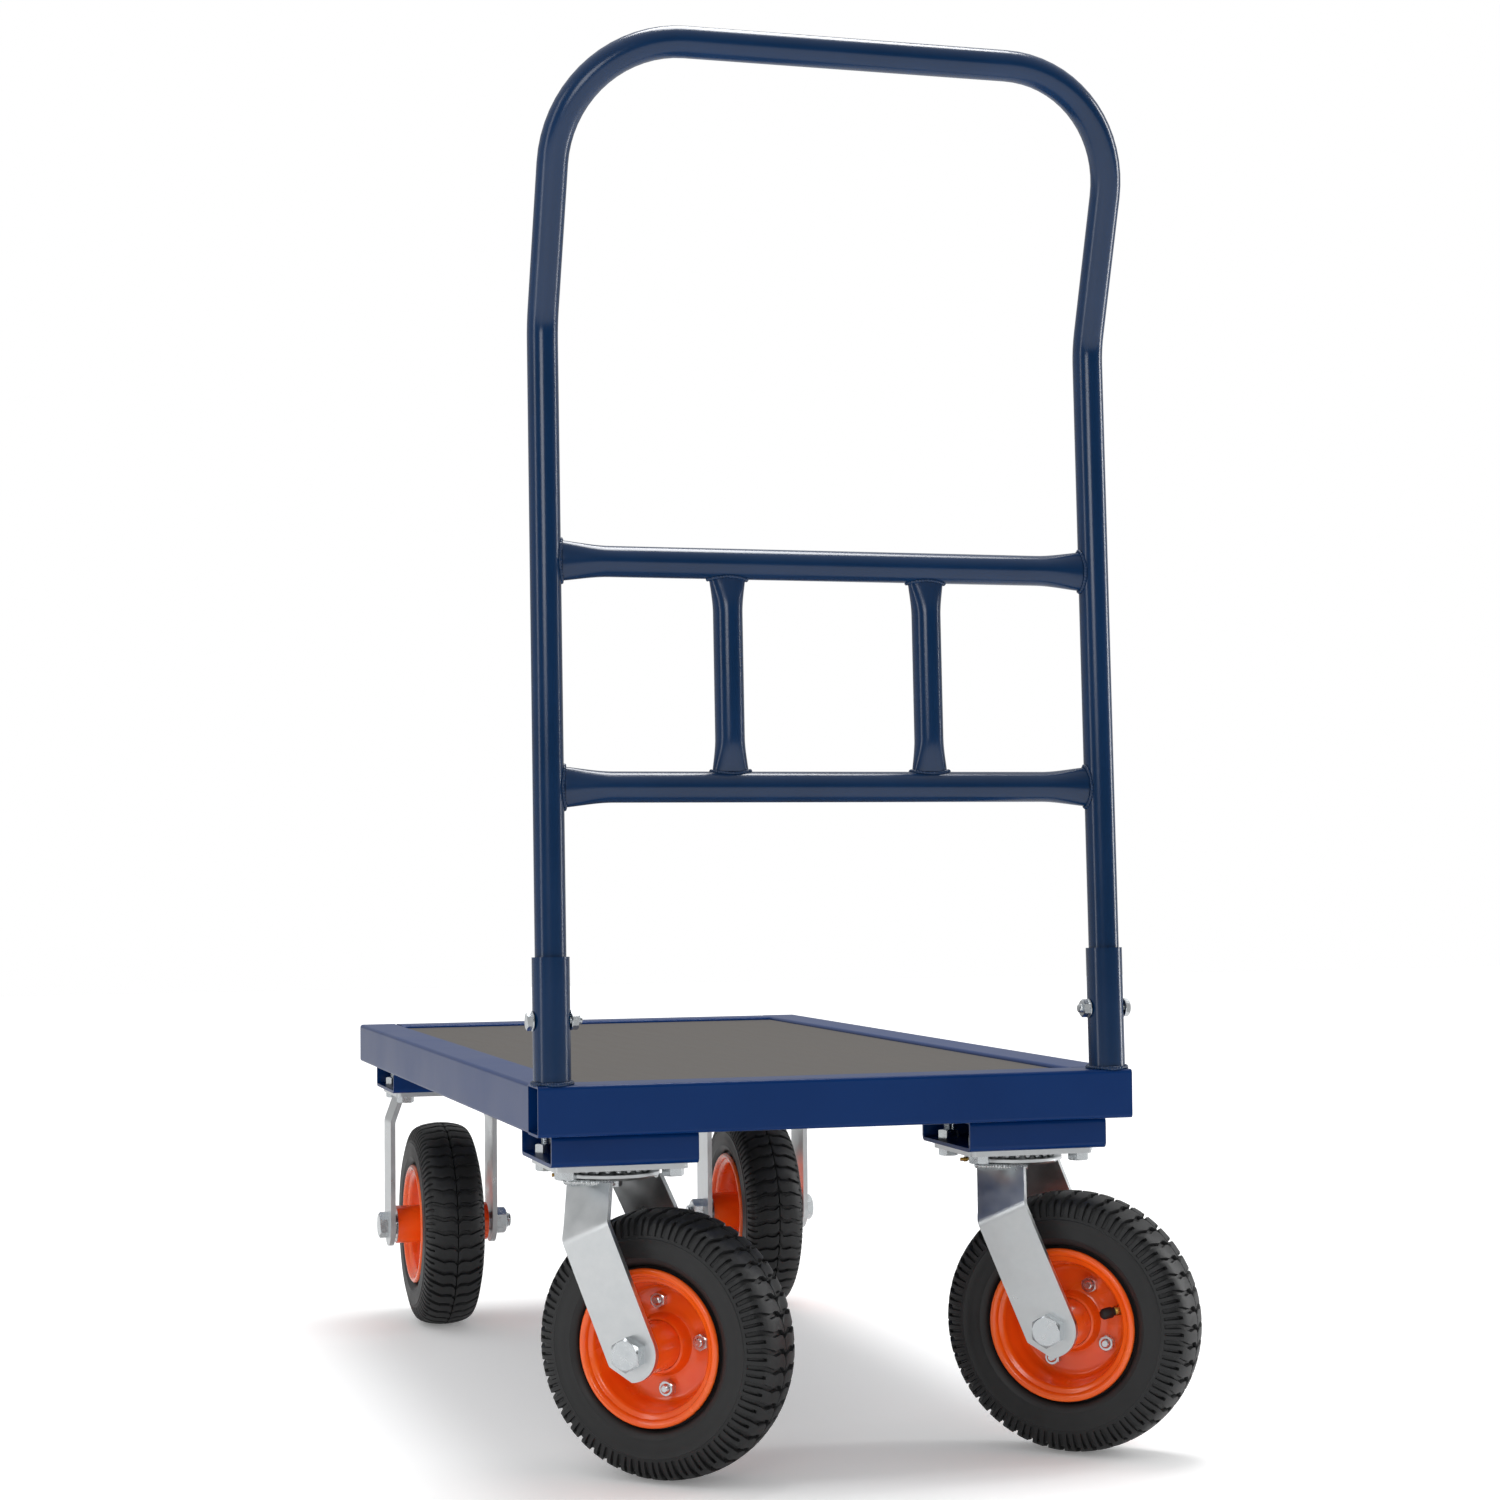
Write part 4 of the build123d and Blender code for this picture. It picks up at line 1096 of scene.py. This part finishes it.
floor_finish, tree, place = new_material("pale_studio_floor")
mottle = add_node(tree, "ShaderNodeTexNoise", {"Vector": place, "Scale": 2.0, "Detail": 2.0})
floor_tone = blend_two(tree, mottle.outputs["Fac"], "#F6F6F6", "#FAFAFA")
outward = add_node(tree, "ShaderNodeVectorMath", {"Vector": place}, operation="LENGTH").outputs["Value"]
sweep = add_node(
    tree,
    "ShaderNodeMapRange",
    {"Value": outward, "From Min": 1.2, "From Max": 3.2, "To Min": 0.18, "To Max": 0.6},
)
mirrored = add_node(tree, "ShaderNodeLightPath").outputs["Is Glossy Ray"]
dimming = add_node(tree, "ShaderNodeMix", {"Factor": mirrored}, data_type="RGBA")
tree.links.new(floor_tone, dimming.inputs["A"])
dimming.inputs["B"].default_value = srgb("#C4C4C4")
glow_tint = blend_two(tree, mirrored, "#FFFFFF", "#BCBCBC")
shader = add_node(
    tree,
    "ShaderNodeBsdfPrincipled",
    {
        "Base Color": dimming.outputs["Result"],
        "Roughness": 0.9,
        "Emission Color": glow_tint,
        "Emission Strength": sweep.outputs["Result"],
    },
)
show(tree, shader)
floor_data.materials.append(floor_finish)

# %% Lights


def soft_light(name, where, towards, width, height, watts, tint="#FFFFFF"):
    """A soft rectangular light that faces a point."""
    data = bpy.data.lights.new(name, "AREA")
    data.shape = "RECTANGLE"
    data.size, data.size_y = width, height
    data.energy = watts
    data.color = srgb(tint)[:3]
    light = bpy.data.objects.new(name, data)
    bpy.context.scene.collection.objects.link(light)
    facing = (Vector(towards) - Vector(where)).to_track_quat("-Z", "Y")
    light.matrix_world = Matrix.Translation(where) @ facing.to_matrix().to_4x4()
    return light


soft_light("overhead_soft_box", (0.3, 0.15, 3.1), (0, 0, 0.3), 1.3, 1.3, 52)
soft_light("left_strip", (-2.6, -1.0, 1.3), (0, 0, 0.6), 0.4, 2.4, 8)
soft_light("right_strip", (2.6, -0.4, 1.2), (0, 0, 0.6), 0.4, 2.4, 26)
soft_light("front_fill", (-1.5, -3.6, 1.6), (0, -0.4, 0.4), 1.2, 1.0, 15)

# %% Backdrop
world = bpy.data.worlds.new("studio")
bpy.context.scene.world = world
world.use_nodes = True
tree = world.node_tree
tree.nodes.clear()
way = add_node(tree, "ShaderNodeTexCoord").outputs["Generated"]
parted = add_node(tree, "ShaderNodeSeparateXYZ", {"Vector": way})
rearward = add_node(
    tree,
    "ShaderNodeMapRange",
    {"Value": parted.outputs["Y"], "From Min": -0.6, "From Max": 0.6, "To Min": 0.08, "To Max": 0.6},
)
skyward = add_node(
    tree,
    "ShaderNodeMapRange",
    {"Value": parted.outputs["Z"], "From Min": 0.2, "From Max": 1.0, "To Min": 0.0, "To Max": 0.6},
)
glow = add_node(tree, "ShaderNodeMath", operation="ADD")
tree.links.new(rearward.outputs["Result"], glow.inputs[0])
tree.links.new(skyward.outputs["Result"], glow.inputs[1])
path = add_node(tree, "ShaderNodeLightPath")
mirror_share = add_node(
    tree, "ShaderNodeMapRange", {"Value": path.outputs["Is Glossy Ray"], "To Min": 1.0, "To Max": 0.66}
)
strength = add_node(tree, "ShaderNodeMath", operation="MULTIPLY")
tree.links.new(glow.outputs["Value"], strength.inputs[0])
tree.links.new(mirror_share.outputs["Result"], strength.inputs[1])
lit = add_node(
    tree, "ShaderNodeBackground", {"Color": srgb("#FFFFFF"), "Strength": strength.outputs["Value"]}
)
plain = add_node(tree, "ShaderNodeBackground", {"Color": srgb("#FFFFFF"), "Strength": 1.0})
both = add_node(tree, "ShaderNodeMixShader")
tree.links.new(path.outputs["Is Camera Ray"], both.inputs[0])
tree.links.new(lit.outputs[0], both.inputs[1])
tree.links.new(plain.outputs[0], both.inputs[2])
tree.links.new(both.outputs[0], add_node(tree, "ShaderNodeOutputWorld").inputs["Surface"])
bpy.context.scene.view_settings.view_transform = "Standard"
